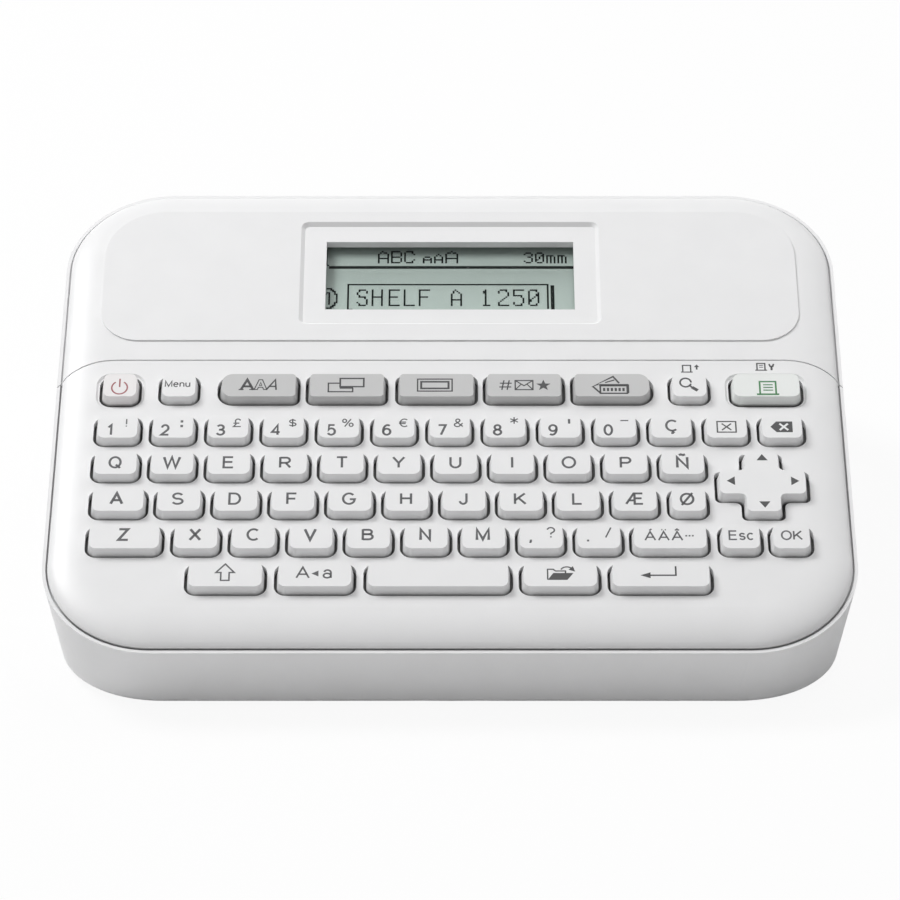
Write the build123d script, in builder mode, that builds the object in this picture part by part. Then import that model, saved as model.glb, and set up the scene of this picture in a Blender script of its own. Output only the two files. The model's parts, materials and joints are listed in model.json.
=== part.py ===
"""Desktop label maker: wedge case, tilted keyboard deck, hinged display cover, tape printer inside.

Frame: +X to the right, +Y to the back, +Z up, origin under the middle of the footprint.
Everything on the tilted top is placed in deck coordinates: u = X, v up the slope, w out of the deck.
"""
import os
from math import atan2, cos, pi, radians, sin, tan

from build123d import *

os.makedirs("parts", exist_ok=True)

# Overall form
WIDTH = 188.0
DEPTH = 178.0
RIDGE_HEIGHT = 72.0
DECK_SLOPE = 22.5
RIM_LENGTH = 143.8
RIM_RADIUS = 25.8
FOOT_HEIGHT = 1.0
SIDE_LEAN = 3.5
FRONT_UNDERCUT = 5.0
FOOTPRINT_RADIUS = 25.0
BOTTOM_ROUND = 2.0
WALL = 1.8
FLOOR = 2.0

# Rim line and crowned top
RIM_LAND = 0.8
RIM_GAP = 0.4
GROOVE_DEPTH = 0.8
CROWN = 2.8
CROWN_ROLL = 10.0
TOP_THICKNESS = 2.0
PART_GAP = 0.4

# Parting line between the keyboard deck and the cover, measured up the slope from the front rim
PART_LINE = 86.4
PART_DROP = 4.6
PART_ARC_REACH = 12.5

# Cover
COVER_SKIRT = 12.0
COVER_RIB = 5.2
COVER_RIB_DEPTH = 3.0
COVER_CEILING = 0.4
HINGE_SPREAD = 55.0
KNUCKLE_RADIUS = 3.0
KNUCKLE_LENGTH = 9.0
HINGE_PIN_RADIUS = 1.2
RUNNING_CLEARANCE = 0.06
MOVING_CLEARANCE = 0.4
PANEL_WIDTH = 168.8
PANEL_LENGTH = 42.6
PANEL_REAR_MARGIN = 8.55
PANEL_RISE = 0.35
PANEL_REAR_RADIUS = 14.5
PANEL_FRONT_RADIUS = 9.2
RECESS_WIDTH = 73.2
RECESS_LENGTH = 34.0
RECESS_REAR_MARGIN = 11.95
RECESS_RADIUS = 2.0
RECESS_DEPTH = 0.8
RECESS_DRAFT = 50.0
WINDOW_WIDTH = 60.6
WINDOW_LENGTH = 22.5
WINDOW_REAR_MARGIN = 18.0
LENS_THICKNESS = 1.0
LENS_LAND = 2.0
DISPLAY_THICKNESS = 2.8
DISPLAY_LAND = 3.0
HOLDER_WALL = 1.5
DISPLAY_BOARD = 1.2

# Keys
KEY_HEIGHT = 2.1
KEY_LENGTH = 7.8
KEY_RADIUS = 2.0
WIDE_KEY_RADIUS = 1.3
END_KEY_RADIUS = 3.0
KEY_DRAFT = 10.0
KEY_GAP = 0.4
KEY_TRAVEL = 1.2
FLANGE_REACH = 0.7
FLANGE_THICKNESS = 0.9
FLANGE_GAP = 0.25
DOME_GAP = 0.15
DOME_HEIGHT = 1.2
DOME_WIDTH = 4.6
DOME_LENGTH = 3.2
MAT_THICKNESS = 0.8
KEY_BOARD = 1.6
KEY_BOARD_SIDE = 5.5
KEY_BOARD_REAR = 4.5
KEY_BOARD_FRONT = 5.5
KEY_BOARD_RADIUS = 18.0
DECK_RING = 6.0
DECK_SKIRT_INSET = 2.2
DECK_REAR_RING = 4.3
MAT_INSET = 2.0
DISH_REACH = 1.6
DISH_DEPTH = 0.5
DISH_DRAFT = 45.0

# Tape printer
BAY_PLATE = 1.8
BAY_GAP = 1.0
BAY_WALL = 1.6
BAY_CLEARANCE = 0.5
CASSETTE_WIDTH = 78.0
CASSETTE_LENGTH = 46.0
CASSETTE_HEIGHT = 21.0
CASSETTE_MARGIN = 47.5
CASSETTE_REAR_MARGIN = 4.5
CASSETTE_RADIUS = 4.0
SPOOL_HOLE_RADIUS = 4.2
TAPE_WIDTH = 17.0
TAPE_THICKNESS = 0.3
TAPE_LINE = 104.4
TAPE_END_MARGIN = 24.0
GEAR_MODULE = 0.6
GEAR_WIDTH = 4.0
PINION_TEETH = 12
IDLER_TEETH = 36
PLATEN_TEETH = 20
RIBBON_TEETH = 28
SHAFT_RADIUS = 1.5
PLATEN_RADIUS = 2.2
PLATEN_MARGIN = 40.0
IDLER_BEARING = 75.0
MOTOR_BEARING = 140.0
SPINDLE_BEARING = -5.0
SPINDLE_RADIUS = 3.0
MOTOR_RADIUS = 9.0
HEAD_WIDTH = 11.0
HEAD_THICKNESS = 2.2
HEAD_GAP = 0.1
HEAD_FOOT = 7.0
HEAD_ROOM_REAR = 114.0
BULKHEAD_MARGIN = 2.2
MOTOR_SHAFT = 4.0
SPOOL_DEPTH = 3.0
SUPPLY_RADIUS = 7.0
CASSETTE_LABEL = 16.0
CASSETTE_LABEL_DEPTH = 0.3

# Cutter
BRACKET_MARGIN = 23.0
BLADE_THICKNESS = 1.0
BLADE_GAP = 0.3
LEVER_THICKNESS = 4.2
LEVER_HEIGHT = 6.0
LEVER_HUB_RADIUS = 4.5
CUTTER_PIN_RADIUS = 2.0
CUTTER_DEPTH = 42.0
CUTTER_OPEN = 13.5
CUTTER_SWING = 18.0
LEVER_REACH = 53.0
BLADE_HEIGHT = 26.5
CUTTER_OFFSET = 0.6
PIN_HEAD = 0.8
PIN_HEAD_RADIUS = 3.2
BRACKET_THICKNESS = 2.0
EXIT_SLOT_WIDTH = 7.0
EXIT_SLOT_LENGTH = 20.0

# Batteries
CELL_RADIUS = 7.1
CELL_LENGTH = 50.0
CELL_ROWS = 3
CELL_GAP = 0.5
CONTACT_THICKNESS = 0.8
CONTACT_MARGIN = 2.4
BATTERY_MARGIN = 33.0
BATTERY_WALL = 1.5
DOOR_THICKNESS = 1.5
DOOR_LAND = 3.0
DOOR_TRAVEL = 8.0
DOOR_CLEARANCE = 0.3
GRIP_GROOVES = 4
GRIP_PITCH = 1.6
GRIP_WIDTH = 24.0
GRIP_DEPTH = 0.5

# Boards, sockets, feet and screws
MAIN_BOARD = 1.6
MAIN_BOARD_WIDTH = 66.0
MAIN_BOARD_LENGTH = 45.0
MAIN_BOARD_MARGIN = 51.0
MAIN_BOARD_RISE = 4.0
CHIP_SIZE = 9.0
CHIP_SPREAD = 22.0
CHIP_PITCH = 15.0
CHIP_HEIGHT = 1.4
JACK_SIZE = 9.0
JACK_BORE_RADIUS = 2.9
JACK_PIN_RADIUS = 0.9
JACK_MARGIN = 32.0
SOCKET_WIDTH = 8.4
SOCKET_HEIGHT = 3.4
SOCKET_WALL = 0.4
SOCKET_MARGIN = 54.0
CONNECTOR_LENGTH = 11.0
CONNECTOR_INSET = 13.5
CONNECTOR_WALL = 1.5
CONNECTOR_ROOM = 4.0
FOOT_RADIUS = 6.0
FOOT_U = 68.6
FOOT_MARGIN = 15.0
FOOT_RECESS = 0.6
POST_RADIUS = 4.0
SCREW_RADIUS = 1.4
SCREW_LENGTH = 9.0
SCREW_HEAD_RADIUS = 2.8
SCREW_HEAD_HEIGHT = 1.6
SCREW_RECESS = 0.8

# Derived frame of the deck
SLOPE = radians(DECK_SLOPE)
FRONT_RIM_Y = -DEPTH / 2
FRONT_RIM_Z = RIDGE_HEIGHT - RIM_LENGTH * sin(SLOPE)
DECK = Plane(
    origin=(0, FRONT_RIM_Y, FRONT_RIM_Z),
    x_dir=(1, 0, 0),
    z_dir=(0, -sin(SLOPE), cos(SLOPE)),
)


def deck_plane(w):
    """Plane parallel to the deck, w above the rim."""
    return DECK.offset(w)


def deck_point(u, v, w):
    """Point in the part's frame for deck coordinates."""
    return DECK.from_local_coords(Vector(u, v, w))


def deck_block(u, v, w, mode=Mode.ADD):
    """Box between pairs of deck coordinates, joined to the part being built."""
    with BuildSketch(deck_plane(w[0])) as face:
        with Locations(((u[0] + u[1]) / 2, (v[0] + v[1]) / 2)):
            Rectangle(u[1] - u[0], v[1] - v[0])
    extrude(face.sketch, amount=w[1] - w[0], mode=mode)


def level_block(x, y, z, mode=Mode.ADD):
    """Box between pairs of level coordinates, joined to the part being built."""
    with BuildSketch(Plane.XY.offset(z[0])) as face:
        with Locations(((x[0] + x[1]) / 2, (y[0] + y[1]) / 2)):
            Rectangle(x[1] - x[0], y[1] - y[0])
    extrude(face.sketch, amount=z[1] - z[0], mode=mode)


def deck_rod(u, v, w, radius, mode=Mode.ADD):
    """Round rod square to the deck between two heights, joined to the part being built."""
    with BuildSketch(deck_plane(w[0])) as face:
        with Locations((u, v)):
            Circle(radius)
    extrude(face.sketch, amount=w[1] - w[0], mode=mode)


def cross_rod(u, v, w, radius, mode=Mode.ADD):
    """Round rod along X between two places, joined to the part being built."""
    middle = deck_point(u[0], v, w)
    with BuildSketch(Plane(origin=middle, x_dir=(0, 1, 0), z_dir=(1, 0, 0))) as face:
        Circle(radius)
    extrude(face.sketch, amount=u[1] - u[0], mode=mode)


# Shared forms: the outer wedge, its hollow, the crowned top and the parting line
RIDGE_Y = FRONT_RIM_Y + RIM_LENGTH * cos(SLOPE)
REAR_TIP = 0.0
for refine in range(4):
    rear_angle = atan2(RIDGE_HEIGHT - FOOT_HEIGHT, DEPTH / 2 + REAR_TIP - RIDGE_Y)
    REAR_TIP = BOTTOM_ROUND * (1 / tan(rear_angle / 2) - 1)
FOOTPRINT_LENGTH = DEPTH - FRONT_UNDERCUT + REAR_TIP
FOOTPRINT_Y = (FRONT_UNDERCUT + REAR_TIP) / 2
FLOOR_TOP = FOOT_HEIGHT + FLOOR
FAR = 2 * WIDTH
FOOTPRINT_WIDTH = WIDTH - 2 * SIDE_LEAN
CASSETTE_LEFT = CASSETTE_MARGIN - WIDTH / 2
TAPE_END = TAPE_END_MARGIN - WIDTH / 2
PLATEN_U = PLATEN_MARGIN - WIDTH / 2


def wedge(inset, bottom):
    """Case form between the tilted rim outline and the footprint, drawn in by inset."""
    with BuildPart() as form:
        with BuildSketch(DECK):
            with Locations((0, RIM_LENGTH / 2)):
                RectangleRounded(WIDTH - 2 * inset, RIM_LENGTH - 2 * inset, RIM_RADIUS - inset)
        with BuildSketch(Plane.XY.offset(bottom)):
            with Locations((0, FOOTPRINT_Y)):
                RectangleRounded(
                    FOOTPRINT_WIDTH - 2 * inset,
                    FOOTPRINT_LENGTH - 2 * inset,
                    FOOTPRINT_RADIUS - inset,
                )
        loft(ruled=True)
        fillet(form.faces().sort_by(Axis.Z)[0].edges(), BOTTOM_ROUND)
    return form.part


CROWN_INSET = RIM_LAND + RIM_GAP
CROWN_FLAT = CROWN_INSET + CROWN_ROLL

# Crowned top: a flat middle, and an elliptical roll carried round it down to the rim
with BuildPart() as crown:
    with BuildSketch(DECK) as flat:
        with Locations((0, RIM_LENGTH / 2)):
            RectangleRounded(WIDTH - 2 * CROWN_FLAT, RIM_LENGTH - 2 * CROWN_FLAT, RIM_RADIUS - CROWN_FLAT)
    extrude(amount=CROWN)
    roll_path = flat.sketch.face().outer_wire()
    with BuildSketch(Plane(origin=roll_path @ 0, x_dir=DECK.z_dir, z_dir=roll_path % 0)) as roll:
        with BuildLine():
            quarter = EllipticalCenterArc((0, 0), CROWN, CROWN_ROLL, start_angle=0, arc_size=90)
            Polyline(quarter @ 1, (0, 0), quarter @ 0)
        make_face()
    sweep(roll.sketch, path=roll_path)

PART_ARC_START = WIDTH / 2 - WALL - PART_ARC_REACH
PART_ARC_RADIUS = (PART_ARC_REACH**2 + PART_DROP**2) / (2 * PART_DROP)
PART_ARC_TURN = 60.0


def keyboard_zone(shift):
    """Block over the keyboard, in front of the parting line moved back by shift."""
    line = PART_LINE + shift
    with BuildPart() as zone:
        with BuildSketch(deck_plane(-FAR / 2)):
            with BuildLine():
                right = JernArc((PART_ARC_START, line), (1, 0), PART_ARC_RADIUS, -PART_ARC_TURN)
                left = JernArc((-PART_ARC_START, line), (-1, 0), PART_ARC_RADIUS, PART_ARC_TURN)
                Line(left @ 0, right @ 0)
                side = (right @ 1).Y
                Polyline(right @ 1, (FAR, side), (FAR, -FAR), (-FAR, -FAR), (-FAR, side), left @ 1)
            make_face()
        extrude(amount=FAR)
    return zone.part


outer = wedge(0, FOOT_HEIGHT)
hollow = wedge(WALL, FLOOR_TOP)
bay_room = wedge(WALL + BAY_CLEARANCE, FLOOR_TOP)
deck_side = keyboard_zone(-PART_GAP / 2)
cover_side = keyboard_zone(PART_GAP / 2)
cover_inside = keyboard_zone(PART_GAP / 2 + WALL)

# Levels of the tape printer, measured from the rim plane
BAY_TOP = -COVER_SKIRT - BAY_GAP
BAY_UNDERSIDE = BAY_TOP - BAY_PLATE
CASSETTE_TOP = BAY_TOP - BAY_CLEARANCE
BAY_FLOOR = CASSETTE_TOP - CASSETTE_HEIGHT
BAY_BASE = BAY_FLOOR - BAY_WALL
GEAR_TOP = BAY_BASE - BAY_CLEARANCE
GEAR_BOTTOM = GEAR_TOP - GEAR_WIDTH
CASSETTE_REAR = RIM_LENGTH - CASSETTE_REAR_MARGIN
CASSETTE_FRONT = CASSETTE_REAR - CASSETTE_LENGTH
CASSETTE_RIGHT = CASSETTE_LEFT + CASSETTE_WIDTH
TAPE_MIDDLE = CASSETTE_TOP - CASSETTE_HEIGHT / 2

# Levels of the key stack, measured from the rim plane
DECK_UNDERSIDE = CROWN - TOP_THICKNESS
FLANGE_TOP = DECK_UNDERSIDE - FLANGE_GAP
FLANGE_BOTTOM = FLANGE_TOP - FLANGE_THICKNESS
DOME_TOP = FLANGE_BOTTOM - KEY_TRAVEL - DOME_GAP
MAT_TOP = DOME_TOP - DOME_HEIGHT
BOARD_TOP = MAT_TOP - MAT_THICKNESS
BOARD_BOTTOM = BOARD_TOP - KEY_BOARD

# Hinge line of the cover, on the outer face of the rear wall at the foot of the skirt
REAR_FOOT = DECK.to_local_coords(Vector(0, DEPTH / 2 + REAR_TIP, FOOT_HEIGHT))
REAR_LEAN = (REAR_FOOT.Y - RIM_LENGTH) / -REAR_FOOT.Z
HINGE_W = -COVER_SKIRT - PART_GAP / 2
HINGE_V = RIM_LENGTH - REAR_LEAN * HINGE_W
CASE_KNUCKLE = KNUCKLE_LENGTH / 2
KNUCKLE_GAP = MOVING_CLEARANCE
HINGE_SIDES = (-HINGE_SPREAD, HINGE_SPREAD)

# Tape exit, cutter and gear centres
BRACKET_U = BRACKET_MARGIN - WIDTH / 2
EXIT_TOP = TAPE_MIDDLE + EXIT_SLOT_LENGTH / 2
EXIT_BOTTOM = TAPE_MIDDLE - EXIT_SLOT_LENGTH / 2
CUTTER_V = TAPE_LINE + CUTTER_OFFSET
FIXED_BLADE_U = BRACKET_U - BLADE_THICKNESS
MOVING_BLADE_U = FIXED_BLADE_U - BLADE_GAP - BLADE_THICKNESS
LEVER_U = MOVING_BLADE_U - LEVER_THICKNESS


def from_centre(centre, distance, bearing):
    """Point at a distance and bearing from a centre, on the deck."""
    return (
        centre[0] + distance * cos(radians(bearing)),
        centre[1] + distance * sin(radians(bearing)),
    )


def mesh_distance(first, second):
    """Centre distance of two gears in mesh."""
    return GEAR_MODULE * (first + second) / 2


PLATEN = (PLATEN_U, TAPE_LINE + TAPE_THICKNESS / 2 + BLADE_GAP + PLATEN_RADIUS)
IDLER = from_centre(PLATEN, mesh_distance(PLATEN_TEETH, IDLER_TEETH), IDLER_BEARING)
MOTOR = from_centre(IDLER, mesh_distance(IDLER_TEETH, PINION_TEETH), MOTOR_BEARING)
SPINDLE = from_centre(IDLER, mesh_distance(IDLER_TEETH, RIBBON_TEETH), SPINDLE_BEARING)

# Key layout: rows from the front, places and widths across a deck of the drawn width
DRAWN_WIDTH = 188.0
ACROSS = WIDTH / DRAWN_WIDTH
FRONT_ROW = 15.15
ROW_PITCH = 11.16
FUNCTION_ROW = 72.7
BOTTOM_ROW, LOWER_ROW, HOME_ROW, UPPER_ROW, NUMBER_ROW = (FRONT_ROW + ROW_PITCH * row for row in range(5))


def key_run(first, pitch, count, width):
    """Places and widths of equal keys side by side."""
    return [(first + pitch * place, width) for place in range(count)]


NUMBER_FIRST = -78.3
NUMBER_PITCH = 13.04
NUMBER_WIDTH = 10.1
NUMBER_COUNT = 11
ROW_PLACES = {
    "number_keys": (NUMBER_ROW, key_run(NUMBER_FIRST, NUMBER_PITCH, NUMBER_COUNT, NUMBER_WIDTH)),
    "upper_letter_keys": (UPPER_ROW, key_run(-78.2, 13.26, 11, 10.55)),
    "home_letter_keys": (HOME_ROW, [(-77.05, 12.5), *key_run(-62.9, 13.23, 9, 10.6), (55.35, 8.5)]),
    "lower_letter_keys": (LOWER_ROW, [(-75.0, 16.8), *key_run(-58.5, 13.25, 8, 10.55)]),
}
SINGLE_PLACES = {
    "power_key": (FUNCTION_ROW, -78.4, 8.5),
    "menu_key": (FUNCTION_ROW, -64.4, 8.5),
    "font_key": (FUNCTION_ROW, -45.45, 18.2),
    "layout_key": (FUNCTION_ROW, -24.5, 18.15),
    "frame_key": (FUNCTION_ROW, -3.2, 18.15),
    "symbol_key": (FUNCTION_ROW, 17.6, 18.1),
    "template_key": (FUNCTION_ROW, 38.5, 18.3),
    "preview_key": (FUNCTION_ROW, 56.9, 8.7),
    "print_key": (FUNCTION_ROW, 75.2, 16.3),
    "clear_key": (NUMBER_ROW, NUMBER_FIRST + NUMBER_PITCH * NUMBER_COUNT, NUMBER_WIDTH),
    "backspace_key": (NUMBER_ROW, NUMBER_FIRST + NUMBER_PITCH * (NUMBER_COUNT + 1), NUMBER_WIDTH),
    "accent_key": (LOWER_ROW, 50.7, 17.3),
    "escape_key": (LOWER_ROW, 67.0, 9.2),
    "ok_key": (LOWER_ROW, 78.6, 9.1),
    "shift_key": (BOTTOM_ROW, -51.35, 17.45),
    "caps_key": (BOTTOM_ROW, -30.85, 17.3),
    "space_key": (BOTTOM_ROW, -2.7, 32.7),
    "file_key": (BOTTOM_ROW, 25.2, 17.4),
    "enter_key": (BOTTOM_ROW, 48.2, 22.8),
}
ROUND_CORNERS = (KEY_RADIUS, KEY_RADIUS)
WIDE_CORNERS = (WIDE_KEY_RADIUS, WIDE_KEY_RADIUS)
KEY_CORNERS = {
    "font_key": (END_KEY_RADIUS, WIDE_KEY_RADIUS),
    "layout_key": WIDE_CORNERS,
    "frame_key": WIDE_CORNERS,
    "symbol_key": WIDE_CORNERS,
    "template_key": (WIDE_KEY_RADIUS, END_KEY_RADIUS),
}
CHARACTER_ROWS = {
    name: [(ACROSS * u, front, ACROSS * width, ROUND_CORNERS) for u, width in keys]
    for name, (front, keys) in ROW_PLACES.items()
}
SINGLE_KEYS = {
    name: (ACROSS * u, front, ACROSS * width, KEY_CORNERS.get(name, ROUND_CORNERS))
    for name, (front, u, width) in SINGLE_PLACES.items()
}
DISHED_KEYS = ("power_key", "print_key")
ARROWS_U = 72.8 * ACROSS
ARROWS_V = 46.6
ARROWS_WIDTH = 20.7 * ACROSS
ARROWS_LENGTH = 18.5
ARROWS_UPRIGHT = 8.6 * ACROSS
ARROWS_CROSSBAR = 7.8
ARROWS_RADIUS = 1.4
KEY_SPREAD = (CROWN - FLANGE_TOP) * tan(radians(KEY_DRAFT))
KEY_SHRINK = KEY_HEIGHT * tan(radians(KEY_DRAFT))
ALL_KEYS = [key for keys in CHARACTER_ROWS.values() for key in keys] + list(SINGLE_KEYS.values())


def key_outline(key, margin):
    """Outline of a key with its own corners at each end, let out by margin, on the sketch being drawn."""
    u, front, width, corners = key
    middle = front + KEY_LENGTH / 2
    length = KEY_LENGTH + 2 * margin
    rounder = max(corners) + margin
    with Locations((u, middle)):
        RectangleRounded(width + 2 * margin, length, rounder)
    if corners[0] != corners[1]:
        shift = rounder / 2 if corners[0] > corners[1] else -rounder / 2
        with Locations((u + shift, middle)):
            RectangleRounded(width + 2 * margin - rounder, length, min(corners) + margin)


def arrows_outline(margin):
    """Outline of the arrow cross, let out by margin, on the sketch being drawn."""
    with Locations((ARROWS_U, ARROWS_V)):
        Rectangle(ARROWS_WIDTH + 2 * margin, ARROWS_CROSSBAR + 2 * margin)
        Rectangle(ARROWS_UPRIGHT + 2 * margin, ARROWS_LENGTH + 2 * margin)


def key_cap(key):
    """Key with its retaining flange under the deck and a tapered cap above it."""
    u, front, width = key[:3]
    reach = 2 * (KEY_SPREAD + FLANGE_REACH)
    with BuildSketch(deck_plane(FLANGE_BOTTOM)) as flange:
        with Locations((u, front + KEY_LENGTH / 2)):
            Rectangle(width + reach, KEY_LENGTH + reach)
    extrude(flange.sketch, amount=FLANGE_THICKNESS)
    with BuildSketch(deck_plane(FLANGE_TOP)) as stem:
        key_outline(key, KEY_SPREAD)
    with BuildSketch(deck_plane(CROWN + KEY_HEIGHT)) as top:
        key_outline(key, -KEY_SHRINK)
    loft([stem.sketch.face(), top.sketch.face()], ruled=True)


for name, keys in CHARACTER_ROWS.items():
    with BuildPart() as key_row:
        for key in keys:
            key_cap(key)
    key_row.part.label = name
    export_step(key_row.part, f"parts/{name}.step")

for name, key in SINGLE_KEYS.items():
    with BuildPart() as single_key:
        key_cap(key)
    single_key.part.label = name
    export_step(single_key.part, f"parts/{name}.step")

with BuildPart() as arrow_key:
    with BuildSketch(deck_plane(FLANGE_BOTTOM)):
        arrows_outline(KEY_SPREAD + FLANGE_REACH)
    extrude(amount=FLANGE_THICKNESS)
    with BuildSketch(deck_plane(FLANGE_TOP)) as cross:
        arrows_outline(KEY_SPREAD)
        fillet(cross.vertices(), ARROWS_RADIUS)
    with BuildSketch(deck_plane(CROWN + KEY_HEIGHT)) as cross_top:
        arrows_outline(-KEY_SHRINK)
        fillet(cross_top.vertices(), ARROWS_RADIUS)
    loft(ruled=True)
arrow_key.part.label = "arrow_key"
export_step(arrow_key.part, "parts/arrow_key.step")

# Keyboard deck: crowned plate with a skirt ring that stands on the key board
with BuildPart() as keyboard_deck:
    add(crown.part)
    skirt_inset = CROWN_INSET + DECK_SKIRT_INSET
    with BuildSketch(deck_plane(BOARD_TOP)):
        with Locations((0, RIM_LENGTH / 2)):
            RectangleRounded(
                WIDTH - 2 * skirt_inset,
                RIM_LENGTH - 2 * skirt_inset,
                RIM_RADIUS - skirt_inset,
            )
    extrude(amount=-BOARD_TOP)
    add(deck_side, mode=Mode.INTERSECT)
    pocket_inset = CROWN_INSET + DECK_RING
    pocket_length = PART_LINE - DECK_REAR_RING - pocket_inset
    with BuildSketch(deck_plane(BOARD_TOP)):
        with Locations((0, pocket_inset + pocket_length / 2)):
            RectangleRounded(WIDTH - 2 * pocket_inset, pocket_length, RIM_RADIUS - pocket_inset)
        # The rear half keeps square corners
        rear_half = pocket_length / 2
        with Locations((0, pocket_inset + pocket_length - rear_half / 2)):
            Rectangle(WIDTH - 2 * pocket_inset, rear_half)
    extrude(amount=DECK_UNDERSIDE - BOARD_TOP, mode=Mode.SUBTRACT)
    with BuildSketch(deck_plane(CROWN)):
        for name in DISHED_KEYS:
            key_outline(SINGLE_KEYS[name], DISH_REACH)
    extrude(amount=-DISH_DEPTH, taper=DISH_DRAFT, mode=Mode.SUBTRACT)
    with BuildSketch(deck_plane(DECK_UNDERSIDE)):
        for key in ALL_KEYS:
            key_outline(key, KEY_SPREAD + KEY_GAP)
    extrude(amount=TOP_THICKNESS, mode=Mode.SUBTRACT)
    with BuildSketch(deck_plane(DECK_UNDERSIDE)) as cross_hole:
        arrows_outline(KEY_SPREAD + KEY_GAP)
        fillet(cross_hole.vertices(), ARROWS_RADIUS)
    extrude(amount=TOP_THICKNESS, mode=Mode.SUBTRACT)
keyboard_deck.part.label = "keyboard_deck"
export_step(keyboard_deck.part, "parts/keyboard_deck.step")

# Silicone mat with a dome for every key, on the key board
with BuildPart() as keypad_mat:
    mat_length = pocket_length - 2 * MAT_INSET
    with BuildSketch(deck_plane(BOARD_TOP)):
        with Locations((0, pocket_inset + pocket_length / 2)):
            RectangleRounded(
                WIDTH - 2 * pocket_inset - 2 * MAT_INSET,
                mat_length,
                RIM_RADIUS - pocket_inset - MAT_INSET,
            )
    extrude(amount=MAT_THICKNESS)
    with BuildSketch(deck_plane(MAT_TOP)):
        for u, front, *ends in ALL_KEYS:
            with Locations((u, front + KEY_LENGTH / 2)):
                Rectangle(DOME_WIDTH, DOME_LENGTH)
        arm = (ARROWS_LENGTH - ARROWS_UPRIGHT) / 2 + DOME_LENGTH / 2
        with Locations((ARROWS_U, ARROWS_V)):
            with PolarLocations(arm, 4):
                Rectangle(DOME_LENGTH, DOME_LENGTH)
    extrude(amount=DOME_HEIGHT)
keypad_mat.part.label = "keypad_mat"
export_step(keypad_mat.part, "parts/keypad_mat.step")

with BuildPart() as key_board:
    with BuildSketch(deck_plane(BOARD_BOTTOM)):
        with Locations((0, (KEY_BOARD_FRONT + PART_LINE - KEY_BOARD_REAR) / 2)):
            RectangleRounded(
                WIDTH - 2 * KEY_BOARD_SIDE,
                PART_LINE - KEY_BOARD_REAR - KEY_BOARD_FRONT,
                KEY_BOARD_RADIUS,
            )
    extrude(amount=KEY_BOARD)
key_board.part.label = "key_board"
export_step(key_board.part, "parts/key_board.step")


def side_plane(u):
    """Upright plane across the machine at u, with its sketch axes along v and w."""
    return Plane(origin=deck_point(u, 0, 0), x_dir=DECK.y_dir, z_dir=(1, 0, 0))


# Case posts: under the key board and under the cassette bay, cut off parallel to the deck
KEY_POST_SIDE = 15.0
KEY_POST_ROWS = (21.0, 73.0)
BAY_POST_SIDE = 10.0
BAY_POST_ROWS = (94.0, 129.0)


def post_places(side, rows):
    """Places of posts left and right at rows measured back from the front rim."""
    across = WIDTH / 2 - side
    return [(x, FRONT_RIM_Y + row) for x in (-across, across) for row in rows]


KEY_POSTS = post_places(KEY_POST_SIDE, KEY_POST_ROWS)
BAY_POSTS = post_places(BAY_POST_SIDE, BAY_POST_ROWS)


def posts(places, top):
    """Round posts from the floor up to a plane parallel to the deck."""
    with BuildPart() as group:
        with BuildSketch(Plane.XY.offset(FOOT_HEIGHT)):
            with Locations(*places):
                Circle(POST_RADIUS)
        extrude(amount=RIDGE_HEIGHT)
        split(bisect_by=deck_plane(top), keep=Keep.BOTTOM)
    return group.part


key_posts = posts(KEY_POSTS, BOARD_BOTTOM)
bay_posts = posts(BAY_POSTS, BAY_UNDERSIDE)

with BuildPart() as cover_room:
    deck_block((-FAR, FAR), (-FAR, FAR), (-COVER_SKIRT - PART_GAP, FAR / 2))
    add(deck_side, mode=Mode.SUBTRACT)

# Battery bay: cells lie across the machine in rows, end to end in pairs
CELL_PITCH = 2 * CELL_RADIUS + CELL_GAP
BATTERY_FRONT = FRONT_RIM_Y + BATTERY_MARGIN
BATTERY_BACK = BATTERY_FRONT + CELL_ROWS * CELL_PITCH + CELL_GAP
BATTERY_HALF = CELL_LENGTH + CONTACT_THICKNESS + CELL_GAP
DOOR_TOP = FOOT_HEIGHT + DOOR_THICKNESS
CELL_BOTTOM = DOOR_TOP + CELL_GAP
BATTERY_TOP = CELL_BOTTOM + 2 * CELL_RADIUS + CELL_GAP
DOOR_ROOF = DOOR_TOP + DOOR_CLEARANCE
PAD_TOP = DOOR_ROOF + BATTERY_WALL
PAD_MARGIN = DOOR_LAND + BATTERY_WALL
DOOR_HALF = BATTERY_HALF + DOOR_LAND
DOOR_FRONT = BATTERY_FRONT - DOOR_LAND
DOOR_BACK = BATTERY_BACK + DOOR_LAND
TAB_U = 30.0
TAB_WIDTH = 10.0
TAB_REACH = 4.0
TAB_THICKNESS = 0.9

# Connector recess in the rear wall and the board behind it
BOARD_LEVEL = FLOOR_TOP + MAIN_BOARD_RISE
BOARD_FACE = BOARD_LEVEL + MAIN_BOARD
CONNECTOR_FACE = DEPTH / 2 - CONNECTOR_INSET
MAIN_BOARD_BACK = CONNECTOR_FACE - CONNECTOR_WALL - BAY_CLEARANCE
MAIN_BOARD_FRONT = MAIN_BOARD_BACK - MAIN_BOARD_LENGTH
MAIN_BOARD_U = WIDTH / 2 - MAIN_BOARD_MARGIN
JACK_U = WIDTH / 2 - JACK_MARGIN
SOCKET_U = WIDTH / 2 - SOCKET_MARGIN
RECESS_LEFT = SOCKET_U - SOCKET_WIDTH / 2 - CONNECTOR_ROOM
RECESS_RIGHT = JACK_U + JACK_SIZE / 2 + CONNECTOR_ROOM
RECESS_TOP = BOARD_FACE + JACK_SIZE + CONNECTOR_ROOM
CONNECTOR_CLEARANCE = 0.2
STANDOFF_INSET = 5.0
STANDOFF_RADIUS = 3.0
FOOT_FRONT_Y = FRONT_RIM_Y + FRONT_UNDERCUT + FOOT_MARGIN
FOOT_REAR_Y = DEPTH / 2 - FOOT_MARGIN
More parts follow.
